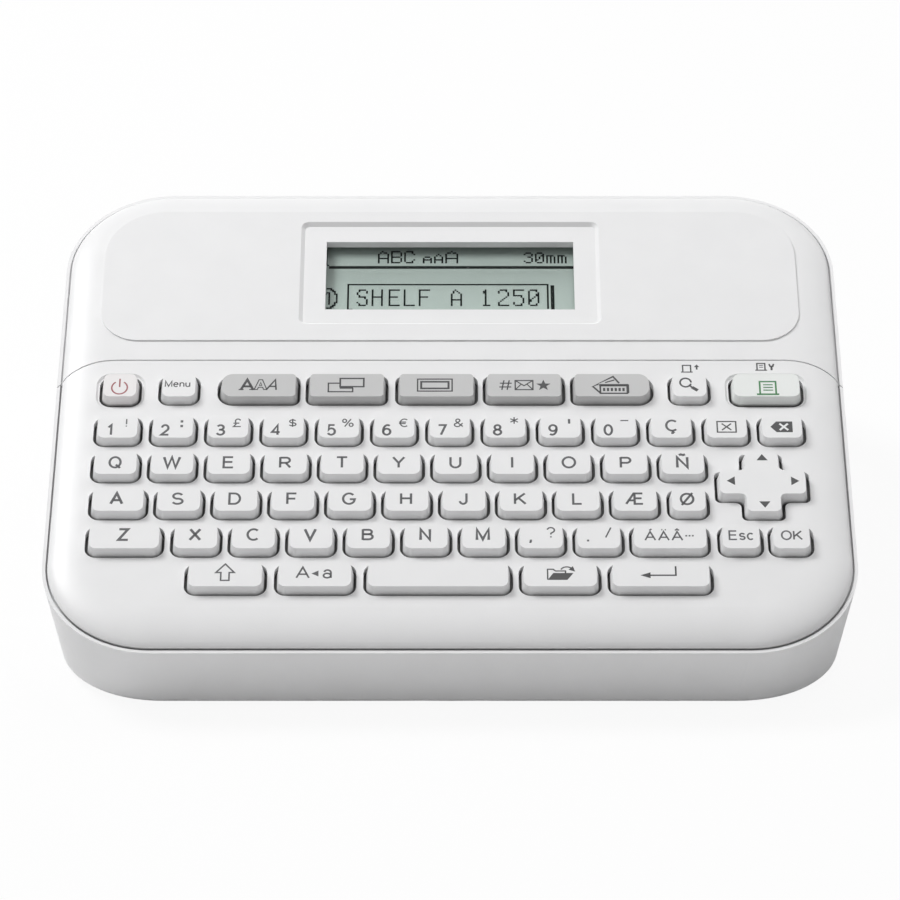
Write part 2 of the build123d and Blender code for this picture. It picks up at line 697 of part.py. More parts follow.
FEET = [(x, y) for x in (-FOOT_U, FOOT_U) for y in (FOOT_FRONT_Y, FOOT_REAR_Y)]
LEVER_SLOT_GAP = 1.0
LEVER_FALL = LEVER_REACH * sin(radians(CUTTER_SWING))
SCREW_BASE = FOOT_HEIGHT + SCREW_RECESS
SCREW_NECK = SCREW_BASE + SCREW_HEAD_HEIGHT
SCREW_CLEARANCE = 0.1

with BuildPart() as lower_case:
    add(outer)
    add(hollow, mode=Mode.SUBTRACT)
    # Rebate under the deck's edge, which leaves a narrow land round it
    with BuildSketch(deck_plane(-GROOVE_DEPTH)):
        with Locations((0, RIM_LENGTH / 2)):
            RectangleRounded(WIDTH - 2 * RIM_LAND, RIM_LENGTH - 2 * RIM_LAND, RIM_RADIUS - RIM_LAND)
    extrude(amount=GROOVE_DEPTH, mode=Mode.SUBTRACT)
    add(cover_room.part, mode=Mode.SUBTRACT)
    add(key_posts)
    add(bay_posts)
    # Standoffs for the main board
    with BuildSketch(Plane.XY.offset(FLOOR_TOP)):
        with Locations((MAIN_BOARD_U, (MAIN_BOARD_FRONT + MAIN_BOARD_BACK) / 2)):
            with GridLocations(
                MAIN_BOARD_WIDTH - 2 * STANDOFF_INSET, MAIN_BOARD_LENGTH - 2 * STANDOFF_INSET, 2, 2
            ):
                Circle(STANDOFF_RADIUS)
    extrude(amount=MAIN_BOARD_RISE)
    # Battery bay, its door recess and the slots for the door's tabs
    level_block(
        (-BATTERY_HALF - PAD_MARGIN, BATTERY_HALF + PAD_MARGIN),
        (DOOR_FRONT - DOOR_TRAVEL - BATTERY_WALL, BATTERY_BACK + PAD_MARGIN + TAB_REACH),
        (FOOT_HEIGHT, PAD_TOP),
    )
    level_block(
        (-BATTERY_HALF - BATTERY_WALL, BATTERY_HALF + BATTERY_WALL),
        (BATTERY_FRONT - BATTERY_WALL, BATTERY_BACK + BATTERY_WALL),
        (FOOT_HEIGHT, BATTERY_TOP + BATTERY_WALL),
    )
    level_block(
        (-BATTERY_HALF, BATTERY_HALF),
        (BATTERY_FRONT, BATTERY_BACK),
        (FOOT_HEIGHT, BATTERY_TOP),
        mode=Mode.SUBTRACT,
    )
    level_block(
        (-DOOR_HALF - DOOR_CLEARANCE, DOOR_HALF + DOOR_CLEARANCE),
        (DOOR_FRONT - DOOR_TRAVEL - DOOR_CLEARANCE, DOOR_BACK + DOOR_CLEARANCE),
        (FOOT_HEIGHT, DOOR_ROOF),
        mode=Mode.SUBTRACT,
    )
    for tab in (-TAB_U, TAB_U):
        level_block(
            (tab - TAB_WIDTH / 2 - DOOR_CLEARANCE, tab + TAB_WIDTH / 2 + DOOR_CLEARANCE),
            (DOOR_BACK, DOOR_BACK + TAB_REACH),
            (DOOR_TOP - TAB_THICKNESS - DOOR_CLEARANCE, DOOR_ROOF),
            mode=Mode.SUBTRACT,
        )
    # Connector recess with an upright back wall
    with BuildSketch(Plane.XZ.offset(-CONNECTOR_FACE + CONNECTOR_WALL)):
        with Locations(((RECESS_LEFT + RECESS_RIGHT) / 2, (FLOOR_TOP + RECESS_TOP) / 2)):
            Rectangle(RECESS_RIGHT - RECESS_LEFT + 2 * CONNECTOR_WALL, RECESS_TOP - FLOOR_TOP)
    extrude(amount=-DEPTH)
    add(outer, mode=Mode.INTERSECT)
    add(cover_room.part, mode=Mode.SUBTRACT)
    level_block(
        (RECESS_LEFT, RECESS_RIGHT),
        (CONNECTOR_FACE, DEPTH),
        (BOARD_LEVEL, RECESS_TOP - CONNECTOR_WALL),
        mode=Mode.SUBTRACT,
    )
    jack_half = JACK_SIZE / 2 + CONNECTOR_CLEARANCE
    level_block(
        (JACK_U - jack_half, JACK_U + jack_half),
        (MAIN_BOARD_BACK, DEPTH),
        (BOARD_FACE - CONNECTOR_CLEARANCE, BOARD_FACE + JACK_SIZE + CONNECTOR_CLEARANCE),
        mode=Mode.SUBTRACT,
    )
    socket_half = SOCKET_WIDTH / 2 + CONNECTOR_CLEARANCE
    level_block(
        (SOCKET_U - socket_half, SOCKET_U + socket_half),
        (MAIN_BOARD_BACK, DEPTH),
        (BOARD_FACE - CONNECTOR_CLEARANCE, BOARD_FACE + SOCKET_HEIGHT + CONNECTOR_CLEARANCE),
        mode=Mode.SUBTRACT,
    )
    # Tape exit in the left wall and the cutter lever's slot in the rear wall
    deck_block(
        (-WIDTH, LEVER_U - LEVER_SLOT_GAP),
        (TAPE_LINE - EXIT_SLOT_WIDTH / 2, TAPE_LINE + EXIT_SLOT_WIDTH / 2),
        (EXIT_BOTTOM, EXIT_TOP),
        mode=Mode.SUBTRACT,
    )
    lever_room = LEVER_HEIGHT / 2 + LEVER_SLOT_GAP
    deck_block(
        (LEVER_U - LEVER_SLOT_GAP, MOVING_BLADE_U + LEVER_SLOT_GAP),
        (RIM_LENGTH - RIM_RADIUS / 2, FAR),
        (-CUTTER_DEPTH - lever_room - LEVER_FALL, -CUTTER_DEPTH + lever_room),
        mode=Mode.SUBTRACT,
    )
    # Hinge knuckles on both sides of each cover knuckle
    for side in HINGE_SIDES:
        near = side - CASE_KNUCKLE - KNUCKLE_GAP
        far = side + CASE_KNUCKLE + KNUCKLE_GAP
        cross_rod((near - CASE_KNUCKLE, near), HINGE_V, HINGE_W, KNUCKLE_RADIUS)
        cross_rod((far, far + CASE_KNUCKLE), HINGE_V, HINGE_W, KNUCKLE_RADIUS)
        cross_rod((near, far), HINGE_V, HINGE_W, KNUCKLE_RADIUS + MOVING_CLEARANCE, mode=Mode.SUBTRACT)
        cross_rod(
            (near - CASE_KNUCKLE, far + CASE_KNUCKLE),
            HINGE_V,
            HINGE_W,
            HINGE_PIN_RADIUS + RUNNING_CLEARANCE,
            mode=Mode.SUBTRACT,
        )
    # Foot recesses and screw holes
    with BuildSketch(Plane.XY.offset(FOOT_HEIGHT)):
        with Locations(*FEET):
            Circle(FOOT_RADIUS)
    extrude(amount=FOOT_RECESS, mode=Mode.SUBTRACT)
    with BuildSketch(Plane.XY.offset(FOOT_HEIGHT)):
        with Locations(*KEY_POSTS, *BAY_POSTS):
            Circle(SCREW_HEAD_RADIUS + SCREW_CLEARANCE)
    extrude(amount=SCREW_NECK - FOOT_HEIGHT, mode=Mode.SUBTRACT)
    with BuildSketch(Plane.XY.offset(FOOT_HEIGHT)):
        with Locations(*KEY_POSTS, *BAY_POSTS):
            Circle(SCREW_RADIUS + SCREW_CLEARANCE)
    extrude(amount=SCREW_NECK - FOOT_HEIGHT + SCREW_LENGTH + BAY_GAP, mode=Mode.SUBTRACT)
lower_case.part.label = "lower_case"
export_step(lower_case.part, "parts/lower_case.step")

# Cover: crowned shell with its own rim groove, display window and hinge knuckles
PANEL_REAR = RIM_LENGTH - PANEL_REAR_MARGIN
RECESS_REAR = RIM_LENGTH - RECESS_REAR_MARGIN
PANEL_TOP = CROWN + PANEL_RISE
WINDOW_REAR = RIM_LENGTH - WINDOW_REAR_MARGIN
WINDOW_MIDDLE = WINDOW_REAR - WINDOW_LENGTH / 2

with BuildPart() as cover_hollow:
    add(hollow)
    deck_block((-FAR, FAR), (-FAR, FAR), (-COVER_RIB_DEPTH, FAR), mode=Mode.SUBTRACT)
    with BuildSketch(deck_plane(-COVER_RIB_DEPTH)):
        with Locations((0, RIM_LENGTH / 2)):
            RectangleRounded(WIDTH - 2 * COVER_RIB, RIM_LENGTH - 2 * COVER_RIB, RIM_RADIUS - COVER_RIB)
    extrude(amount=COVER_RIB_DEPTH + COVER_CEILING)
    add(cover_inside, mode=Mode.SUBTRACT)

with BuildPart() as cassette_cover:
    add(outer)
    deck_block((-FAR, FAR), (-FAR, FAR), (-COVER_SKIRT, FAR / 2), mode=Mode.INTERSECT)
    add(crown.part)
    add(cover_side, mode=Mode.SUBTRACT)
    add(cover_hollow.part, mode=Mode.SUBTRACT)
    # Groove that continues the rim line round the cover
    with BuildSketch(deck_plane(-GROOVE_DEPTH)):
        with Locations((0, RIM_LENGTH / 2)):
            RectangleRounded(WIDTH - 2 * RIM_LAND, RIM_LENGTH - 2 * RIM_LAND, RIM_RADIUS - RIM_LAND)
            RectangleRounded(
                WIDTH - 2 * CROWN_INSET,
                RIM_LENGTH - 2 * CROWN_INSET,
                RIM_RADIUS - CROWN_INSET,
                mode=Mode.SUBTRACT,
            )
    extrude(amount=GROOVE_DEPTH, mode=Mode.SUBTRACT)
    # Slightly raised panel round the display
    with BuildSketch(deck_plane(COVER_CEILING)) as panel:
        with Locations((0, PANEL_REAR - PANEL_LENGTH / 2)):
            Rectangle(PANEL_WIDTH, PANEL_LENGTH)
        fillet(panel.vertices().group_by(Axis.Y)[-1], PANEL_REAR_RADIUS)
        fillet(panel.vertices().group_by(Axis.Y)[0], PANEL_FRONT_RADIUS)
    extrude(amount=PANEL_TOP - COVER_CEILING)
    # Display recess with sloping walls, and the window through it
    with BuildSketch(deck_plane(PANEL_TOP)):
        with Locations((0, RECESS_REAR - RECESS_LENGTH / 2)):
            RectangleRounded(RECESS_WIDTH, RECESS_LENGTH, RECESS_RADIUS)
    extrude(amount=-RECESS_DEPTH, taper=RECESS_DRAFT, mode=Mode.SUBTRACT)
    deck_block(
        (-WINDOW_WIDTH / 2, WINDOW_WIDTH / 2),
        (WINDOW_REAR - WINDOW_LENGTH, WINDOW_REAR),
        (-COVER_RIB_DEPTH, 2 * CROWN),
        mode=Mode.SUBTRACT,
    )
    # Hinge knuckles, and room for the case's knuckles beside them
    for side in HINGE_SIDES:
        near = side - CASE_KNUCKLE - KNUCKLE_GAP
        far = side + CASE_KNUCKLE + KNUCKLE_GAP
        cross_rod((side - CASE_KNUCKLE, side + CASE_KNUCKLE), HINGE_V, HINGE_W, KNUCKLE_RADIUS)
        left_room = (near - CASE_KNUCKLE - KNUCKLE_GAP, near + KNUCKLE_GAP)
        right_room = (far - KNUCKLE_GAP, far + CASE_KNUCKLE + KNUCKLE_GAP)
        for room in (left_room, right_room):
            cross_rod(room, HINGE_V, HINGE_W, KNUCKLE_RADIUS + MOVING_CLEARANCE, mode=Mode.SUBTRACT)
        cross_rod(
            (near, far),
            HINGE_V,
            HINGE_W,
            HINGE_PIN_RADIUS + RUNNING_CLEARANCE,
            mode=Mode.SUBTRACT,
        )
cassette_cover.part.label = "cassette_cover"
export_step(cassette_cover.part, "parts/cassette_cover.step")

with BuildPart() as hinge_pins:
    for side in HINGE_SIDES:
        reach = 2 * CASE_KNUCKLE + KNUCKLE_GAP
        cross_rod((side - reach, side + reach), HINGE_V, HINGE_W, HINGE_PIN_RADIUS)
hinge_pins.part.label = "hinge_pins"
export_step(hinge_pins.part, "parts/hinge_pins.step")

# Display stack under the window: lens on the panel, both framed by a holder, board below
DISPLAY_FACE = COVER_CEILING - LENS_THICKNESS
DISPLAY_BACK = DISPLAY_FACE - DISPLAY_THICKNESS


def window_plate(land, bottom, top, hole=None):
    """Plate under the window, larger by land all round, with an optional hole."""
    with BuildSketch(deck_plane(bottom)) as plate:
        with Locations((0, WINDOW_MIDDLE)):
            Rectangle(WINDOW_WIDTH + 2 * land, WINDOW_LENGTH + 2 * land)
            if hole is not None:
                Rectangle(WINDOW_WIDTH + 2 * hole, WINDOW_LENGTH + 2 * hole, mode=Mode.SUBTRACT)
    extrude(plate.sketch, amount=top - bottom)


with BuildPart() as display_lens:
    window_plate(LENS_LAND, DISPLAY_FACE, COVER_CEILING)
display_lens.part.label = "display_lens"
export_step(display_lens.part, "parts/display_lens.step")

with BuildPart() as display_panel:
    window_plate(DISPLAY_LAND, DISPLAY_BACK, DISPLAY_FACE)
display_panel.part.label = "display_panel"
export_step(display_panel.part, "parts/display_panel.step")

with BuildPart() as display_holder:
    holder_hole = DISPLAY_LAND + CONNECTOR_CLEARANCE
    window_plate(holder_hole + HOLDER_WALL, DISPLAY_BACK, COVER_CEILING, hole=holder_hole)
display_holder.part.label = "display_holder"
export_step(display_holder.part, "parts/display_holder.step")

with BuildPart() as display_board:
    window_plate(holder_hole + HOLDER_WALL, DISPLAY_BACK - DISPLAY_BOARD, DISPLAY_BACK)
display_board.part.label = "display_board"
export_step(display_board.part, "parts/display_board.step")

# Batteries, contacts and the sliding battery cover
with BuildPart() as battery_cells:
    for row in range(CELL_ROWS):
        cell_y = BATTERY_FRONT + CELL_GAP + CELL_PITCH * row + CELL_RADIUS
        for start in (-CELL_LENGTH, 0):
            cell_end = Vector(start, cell_y, CELL_BOTTOM + CELL_RADIUS)
            with BuildSketch(Plane(origin=cell_end, x_dir=(0, 1, 0), z_dir=(1, 0, 0))) as cell:
                Circle(CELL_RADIUS)
            extrude(cell.sketch, amount=CELL_LENGTH - CELL_GAP / 2)
battery_cells.part.label = "battery_cells"
export_step(battery_cells.part, "parts/battery_cells.step")

with BuildPart() as battery_contacts:
    for end in (-BATTERY_HALF, BATTERY_HALF - CONTACT_THICKNESS):
        for row in range(CELL_ROWS):
            cell_y = BATTERY_FRONT + CELL_GAP + CELL_PITCH * row + CELL_RADIUS
            level_block(
                (end, end + CONTACT_THICKNESS),
                (cell_y - CELL_RADIUS + CONTACT_MARGIN, cell_y + CELL_RADIUS - CONTACT_MARGIN),
                (CELL_BOTTOM + CONTACT_MARGIN, BATTERY_TOP),
            )
battery_contacts.part.label = "battery_contacts"
export_step(battery_contacts.part, "parts/battery_contacts.step")

with BuildPart() as battery_cover:
    level_block((-DOOR_HALF, DOOR_HALF), (DOOR_FRONT, DOOR_BACK), (FOOT_HEIGHT, DOOR_TOP))
    fillet(battery_cover.edges().filter_by(Axis.Z), DOOR_LAND)
    for tab in (-TAB_U, TAB_U):
        level_block(
            (tab - TAB_WIDTH / 2, tab + TAB_WIDTH / 2),
            (DOOR_BACK, DOOR_BACK + TAB_REACH - DOOR_CLEARANCE),
            (DOOR_TOP - TAB_THICKNESS, DOOR_TOP),
        )
    # Thumb grooves along the front edge
    for groove in range(GRIP_GROOVES):
        start = DOOR_FRONT + GRIP_PITCH * (groove + 1)
        level_block(
            (-GRIP_WIDTH / 2, GRIP_WIDTH / 2),
            (start, start + GRIP_PITCH / 2),
            (FOOT_HEIGHT, FOOT_HEIGHT + GRIP_DEPTH),
            mode=Mode.SUBTRACT,
        )
battery_cover.part.label = "battery_cover"
export_step(battery_cover.part, "parts/battery_cover.step")

# Main board with its chips, power jack and data socket
with BuildPart() as main_board:
    board_left = MAIN_BOARD_U - MAIN_BOARD_WIDTH / 2
    level_block(
        (board_left, board_left + MAIN_BOARD_WIDTH),
        (MAIN_BOARD_FRONT, MAIN_BOARD_BACK),
        (BOARD_LEVEL, BOARD_FACE),
    )
    with BuildSketch(Plane.XY.offset(BOARD_FACE)):
        with Locations((MAIN_BOARD_U, MAIN_BOARD_FRONT + CHIP_PITCH)):
            with GridLocations(CHIP_SPREAD, CHIP_PITCH, 2, 2):
                Rectangle(CHIP_SIZE, CHIP_SIZE)
    extrude(amount=CHIP_HEIGHT)
main_board.part.label = "main_board"
export_step(main_board.part, "parts/main_board.step")

with BuildPart() as power_jack:
    level_block(
        (JACK_U - JACK_SIZE / 2, JACK_U + JACK_SIZE / 2),
        (CONNECTOR_FACE - CONNECTOR_LENGTH, CONNECTOR_FACE),
        (BOARD_FACE, BOARD_FACE + JACK_SIZE),
    )
    with BuildSketch(Plane.XZ.offset(-CONNECTOR_FACE)):
        with Locations((JACK_U, BOARD_FACE + JACK_SIZE / 2)):
            Circle(JACK_BORE_RADIUS)
            Circle(JACK_PIN_RADIUS, mode=Mode.SUBTRACT)
    extrude(amount=CONNECTOR_LENGTH - CONNECTOR_WALL, mode=Mode.SUBTRACT)
power_jack.part.label = "power_jack"
export_step(power_jack.part, "parts/power_jack.step")

with BuildPart() as data_socket:
    level_block(
        (SOCKET_U - SOCKET_WIDTH / 2, SOCKET_U + SOCKET_WIDTH / 2),
        (CONNECTOR_FACE - CONNECTOR_LENGTH, CONNECTOR_FACE),
        (BOARD_FACE, BOARD_FACE + SOCKET_HEIGHT),
    )
    level_block(
        (SOCKET_U - SOCKET_WIDTH / 2 + SOCKET_WALL, SOCKET_U + SOCKET_WIDTH / 2 - SOCKET_WALL),
        (CONNECTOR_FACE - CONNECTOR_LENGTH + CONNECTOR_WALL, CONNECTOR_FACE),
        (BOARD_FACE + SOCKET_WALL, BOARD_FACE + SOCKET_HEIGHT - SOCKET_WALL),
        mode=Mode.SUBTRACT,
    )
data_socket.part.label = "data_socket"
export_step(data_socket.part, "parts/data_socket.step")

with BuildPart() as rubber_feet:
    with BuildSketch():
        with Locations(*FEET):
            Circle(FOOT_RADIUS)
    extrude(amount=FOOT_HEIGHT + FOOT_RECESS)
rubber_feet.part.label = "rubber_feet"
export_step(rubber_feet.part, "parts/rubber_feet.step")

with BuildPart() as case_screws:
    with BuildSketch(Plane.XY.offset(SCREW_BASE)):
        with Locations(*KEY_POSTS, *BAY_POSTS):
            Circle(SCREW_HEAD_RADIUS)
    extrude(amount=SCREW_HEAD_HEIGHT)
    with BuildSketch(Plane.XY.offset(SCREW_NECK)):
        with Locations(*KEY_POSTS, *BAY_POSTS):
            Circle(SCREW_RADIUS)
    extrude(amount=SCREW_LENGTH)
case_screws.part.label = "case_screws"
export_step(case_screws.part, "parts/case_screws.step")

# Cassette bay: plate across the case, well for the cassette, bracket for the cutter
WELL_FRONT = CASSETTE_FRONT - BAY_CLEARANCE
WELL_REAR = CASSETTE_REAR + BAY_CLEARANCE
WELL_RIGHT = CASSETTE_RIGHT + BAY_CLEARANCE
WELL_LEFT = CASSETTE_LEFT - BAY_CLEARANCE
BRACKET_RIGHT = BRACKET_U + BRACKET_THICKNESS

BULKHEAD = PART_LINE - BULKHEAD_MARGIN

with BuildPart() as chassis:
    add(bay_room)
    deck_block((-FAR, FAR), (BULKHEAD, FAR), (BAY_UNDERSIDE, BAY_TOP), mode=Mode.INTERSECT)
    # Room for the cover's hinge knuckles
    for side in HINGE_SIDES:
        cross_rod(
            (side - KNUCKLE_LENGTH - MOVING_CLEARANCE * 2, side + KNUCKLE_LENGTH + MOVING_CLEARANCE * 2),
            HINGE_V,
            HINGE_W,
            KNUCKLE_RADIUS + MOVING_CLEARANCE,
            mode=Mode.SUBTRACT,
        )
    # Bulkhead that closes the gap under the rear edge of the keyboard deck
    deck_block(
        (-PART_ARC_START, PART_ARC_START),
        (BULKHEAD, BULKHEAD + BAY_WALL),
        (BAY_TOP, BOARD_TOP - BAY_CLEARANCE),
    )
    # Walls and floor of the well
    deck_block(
        (BRACKET_U, WELL_RIGHT + BAY_WALL),
        (WELL_FRONT - BAY_WALL, WELL_REAR + BAY_WALL),
        (BAY_BASE, BAY_UNDERSIDE),
    )
    deck_block((WELL_LEFT, WELL_RIGHT), (WELL_FRONT, WELL_REAR), (BAY_FLOOR, BAY_TOP), mode=Mode.SUBTRACT)
    # Room for the print head, platen and motor beside the well
    deck_block(
        (BRACKET_RIGHT, WELL_LEFT),
        (WELL_FRONT, HEAD_ROOM_REAR),
        (BAY_FLOOR, BAY_TOP),
        mode=Mode.SUBTRACT,
    )
    deck_block(
        (BRACKET_U, WELL_LEFT),
        (HEAD_ROOM_REAR, WELL_REAR + BAY_WALL),
        (BAY_FLOOR, BAY_UNDERSIDE),
        mode=Mode.SUBTRACT,
    )
    # Cutter bracket below the floor, tape window through it and the pin's bore
    deck_block(
        (BRACKET_U, BRACKET_RIGHT),
        (CUTTER_V - 2 * LEVER_HUB_RADIUS, HEAD_ROOM_REAR),
        (-CUTTER_DEPTH - LEVER_HUB_RADIUS, BAY_BASE),
    )
    deck_block(
        (BRACKET_U, BRACKET_RIGHT),
        (TAPE_LINE - EXIT_SLOT_WIDTH / 2, TAPE_LINE + EXIT_SLOT_WIDTH / 2),
        (EXIT_BOTTOM, EXIT_TOP - BAY_GAP),
        mode=Mode.SUBTRACT,
    )
    cross_rod(
        (BRACKET_U, BRACKET_RIGHT),
        CUTTER_V,
        -CUTTER_DEPTH,
        CUTTER_PIN_RADIUS + RUNNING_CLEARANCE,
        mode=Mode.SUBTRACT,
    )
    # Bearings for the platen and the ribbon spindle, shaft hole for the motor, stub for the idler
    for centre, radius in ((PLATEN, SHAFT_RADIUS), (SPINDLE, SPINDLE_RADIUS), (MOTOR, SHAFT_RADIUS)):
        deck_rod(*centre, (BAY_BASE, BAY_FLOOR), radius + RUNNING_CLEARANCE, mode=Mode.SUBTRACT)
    deck_rod(*IDLER, (GEAR_BOTTOM - BAY_CLEARANCE, BAY_BASE), SHAFT_RADIUS)
chassis.part.label = "chassis"
export_step(chassis.part, "parts/chassis.step")

with BuildPart() as tape_cassette:
    with BuildSketch(deck_plane(BAY_FLOOR)):
        with Locations((CASSETTE_LEFT + CASSETTE_WIDTH / 2, CASSETTE_FRONT + CASSETTE_LENGTH / 2)):
            RectangleRounded(CASSETTE_WIDTH, CASSETTE_LENGTH, CASSETTE_RADIUS)
    extrude(amount=CASSETTE_HEIGHT)
    deck_rod(*SPINDLE, (BAY_FLOOR, CASSETTE_TOP), SPOOL_HOLE_RADIUS, mode=Mode.SUBTRACT)
    # Supply spool hub and the label recess in the top face
    supply = (CASSETTE_RIGHT - CASSETTE_LENGTH / 2, CASSETTE_FRONT + CASSETTE_LENGTH / 2)
    deck_rod(*supply, (CASSETTE_TOP - SPOOL_DEPTH, CASSETTE_TOP), SUPPLY_RADIUS, mode=Mode.SUBTRACT)
    deck_block(
        (CASSETTE_LEFT + CASSETTE_RADIUS, CASSETTE_RIGHT - CASSETTE_RADIUS),
        (CASSETTE_FRONT + CASSETTE_RADIUS, CASSETTE_FRONT + CASSETTE_RADIUS + CASSETTE_LABEL),
        (CASSETTE_TOP - CASSETTE_LABEL_DEPTH, CASSETTE_TOP),
        mode=Mode.SUBTRACT,
    )
tape_cassette.part.label = "tape_cassette"
export_step(tape_cassette.part, "parts/tape_cassette.step")

with BuildPart() as label_tape:
    deck_block(
        (TAPE_END, CASSETTE_LEFT),
        (TAPE_LINE - TAPE_THICKNESS / 2, TAPE_LINE + TAPE_THICKNESS / 2),
        (TAPE_MIDDLE - TAPE_WIDTH / 2, TAPE_MIDDLE + TAPE_WIDTH / 2),
    )
label_tape.part.label = "label_tape"
export_step(label_tape.part, "parts/label_tape.step")

with BuildPart() as print_head:
    head_face = TAPE_LINE - TAPE_THICKNESS / 2 - HEAD_GAP
    deck_block(
        (PLATEN_U - HEAD_WIDTH / 2, PLATEN_U + HEAD_WIDTH / 2),
        (head_face - HEAD_THICKNESS, head_face),
        (BAY_FLOOR, CASSETTE_TOP - BAY_CLEARANCE),
    )
    deck_block(
        (PLATEN_U - HEAD_WIDTH / 2, PLATEN_U + HEAD_WIDTH / 2),
        (head_face - HEAD_FOOT, head_face),
        (BAY_FLOOR, BAY_FLOOR + BAY_WALL),
    )
print_head.part.label = "print_head"
export_step(print_head.part, "parts/print_head.step")

# Gear train under the bay floor: pinion, idler, platen gear and ribbon spindle
TOOTH_SHARE = 0.42
PRESSURE_ANGLE = radians(20)
ADDENDUM = 0.9 * GEAR_MODULE
DEDENDUM = 1.2 * GEAR_MODULE


def gear_wheel(centre, teeth, phase, bore):
    """Spur gear on the deck at a centre, one tooth centred on the phase angle."""
    pitch_radius = GEAR_MODULE * teeth / 2
    half_tooth = TOOTH_SHARE * pi / teeth
    tip_half = half_tooth - ADDENDUM * tan(PRESSURE_ANGLE) / pitch_radius
    root_half = half_tooth + DEDENDUM * tan(PRESSURE_ANGLE) / pitch_radius
    outline = []
    for tooth in range(teeth):
        middle = radians(phase) + 2 * pi * tooth / teeth
        for radius, angle in (
            (pitch_radius - DEDENDUM, middle - root_half),
            (pitch_radius + ADDENDUM, middle - tip_half),
            (pitch_radius + ADDENDUM, middle + tip_half),
            (pitch_radius - DEDENDUM, middle + root_half),
        ):
            outline.append((centre[0] + radius * cos(angle), centre[1] + radius * sin(angle)))
    with BuildSketch(deck_plane(GEAR_BOTTOM)) as wheel:
        with BuildLine():
            Polyline(*outline, close=True)
        make_face()
        if bore:
            with Locations(centre):
                Circle(bore, mode=Mode.SUBTRACT)
    extrude(wheel.sketch, amount=GEAR_WIDTH)


def mesh_phase(teeth, phase, bearing, mate_teeth):
    """Phase angle that puts a mate's gap on the tooth of a gear seen along a bearing."""
    tooth_offset = (bearing - phase) * teeth / 360
    return bearing + 180 - (0.5 - tooth_offset) * 360 / mate_teeth


GEAR_BORE = SHAFT_RADIUS + RUNNING_CLEARANCE
IDLER_PHASE = 0.0
PINION_PHASE = mesh_phase(IDLER_TEETH, IDLER_PHASE, MOTOR_BEARING, PINION_TEETH)
PLATEN_PHASE = mesh_phase(IDLER_TEETH, IDLER_PHASE, IDLER_BEARING + 180, PLATEN_TEETH)
RIBBON_PHASE = mesh_phase(IDLER_TEETH, IDLER_PHASE, SPINDLE_BEARING, RIBBON_TEETH)

with BuildPart() as idler_gear:
    gear_wheel(IDLER, IDLER_TEETH, IDLER_PHASE, GEAR_BORE)
idler_gear.part.label = "idler_gear"
export_step(idler_gear.part, "parts/idler_gear.step")

with BuildPart() as platen_gear:
    gear_wheel(PLATEN, PLATEN_TEETH, PLATEN_PHASE, GEAR_BORE)
platen_gear.part.label = "platen_gear"
export_step(platen_gear.part, "parts/platen_gear.step")

with BuildPart() as platen_roller:
    deck_rod(*PLATEN, (BAY_FLOOR + BAY_CLEARANCE, CASSETTE_TOP - BAY_CLEARANCE), PLATEN_RADIUS)
    deck_rod(*PLATEN, (GEAR_BOTTOM, CASSETTE_TOP), SHAFT_RADIUS)
platen_roller.part.label = "platen_roller"
export_step(platen_roller.part, "parts/platen_roller.step")

with BuildPart() as motor_pinion:
    gear_wheel(MOTOR, PINION_TEETH, PINION_PHASE, None)
    deck_rod(*MOTOR, (GEAR_BOTTOM, BAY_FLOOR + MOTOR_SHAFT), SHAFT_RADIUS)
motor_pinion.part.label = "motor_pinion"
export_step(motor_pinion.part, "parts/motor_pinion.step")

with BuildPart() as ribbon_spindle:
    gear_wheel(SPINDLE, RIBBON_TEETH, RIBBON_PHASE, None)
    deck_rod(*SPINDLE, (GEAR_BOTTOM, CASSETTE_TOP - SPOOL_DEPTH), SPINDLE_RADIUS)
ribbon_spindle.part.label = "ribbon_spindle"
export_step(ribbon_spindle.part, "parts/ribbon_spindle.step")

with BuildPart() as feed_motor:
    deck_rod(*MOTOR, (BAY_FLOOR, BAY_UNDERSIDE - BAY_CLEARANCE), MOTOR_RADIUS)
    deck_rod(
        *MOTOR,
        (BAY_FLOOR, BAY_FLOOR + MOTOR_SHAFT + BAY_CLEARANCE),
        SHAFT_RADIUS + RUNNING_CLEARANCE,
        mode=Mode.SUBTRACT,
    )
feed_motor.part.label = "feed_motor"
export_step(feed_motor.part, "parts/feed_motor.step")

# Cutter: lever on a cross pin, its blade swings past the fixed blade
with BuildPart() as cutter_lever:
    with BuildSketch(side_plane(LEVER_U)):
        with Locations((CUTTER_V, -CUTTER_DEPTH)):
            Circle(LEVER_HUB_RADIUS)
            Rectangle(LEVER_REACH, LEVER_HEIGHT, align=(Align.MIN, Align.CENTER))
            Rectangle(LEVER_HEIGHT, BLADE_HEIGHT, rotation=CUTTER_OPEN, align=(Align.MAX, Align.MIN))
        with Locations((CUTTER_V + LEVER_REACH, -CUTTER_DEPTH)):
            Circle(LEVER_HEIGHT / 2)
        with Locations((CUTTER_V, -CUTTER_DEPTH)):
            Circle(CUTTER_PIN_RADIUS + RUNNING_CLEARANCE, mode=Mode.SUBTRACT)
    extrude(amount=LEVER_THICKNESS)
cutter_lever.part.label = "cutter_lever"
export_step(cutter_lever.part, "parts/cutter_lever.step")

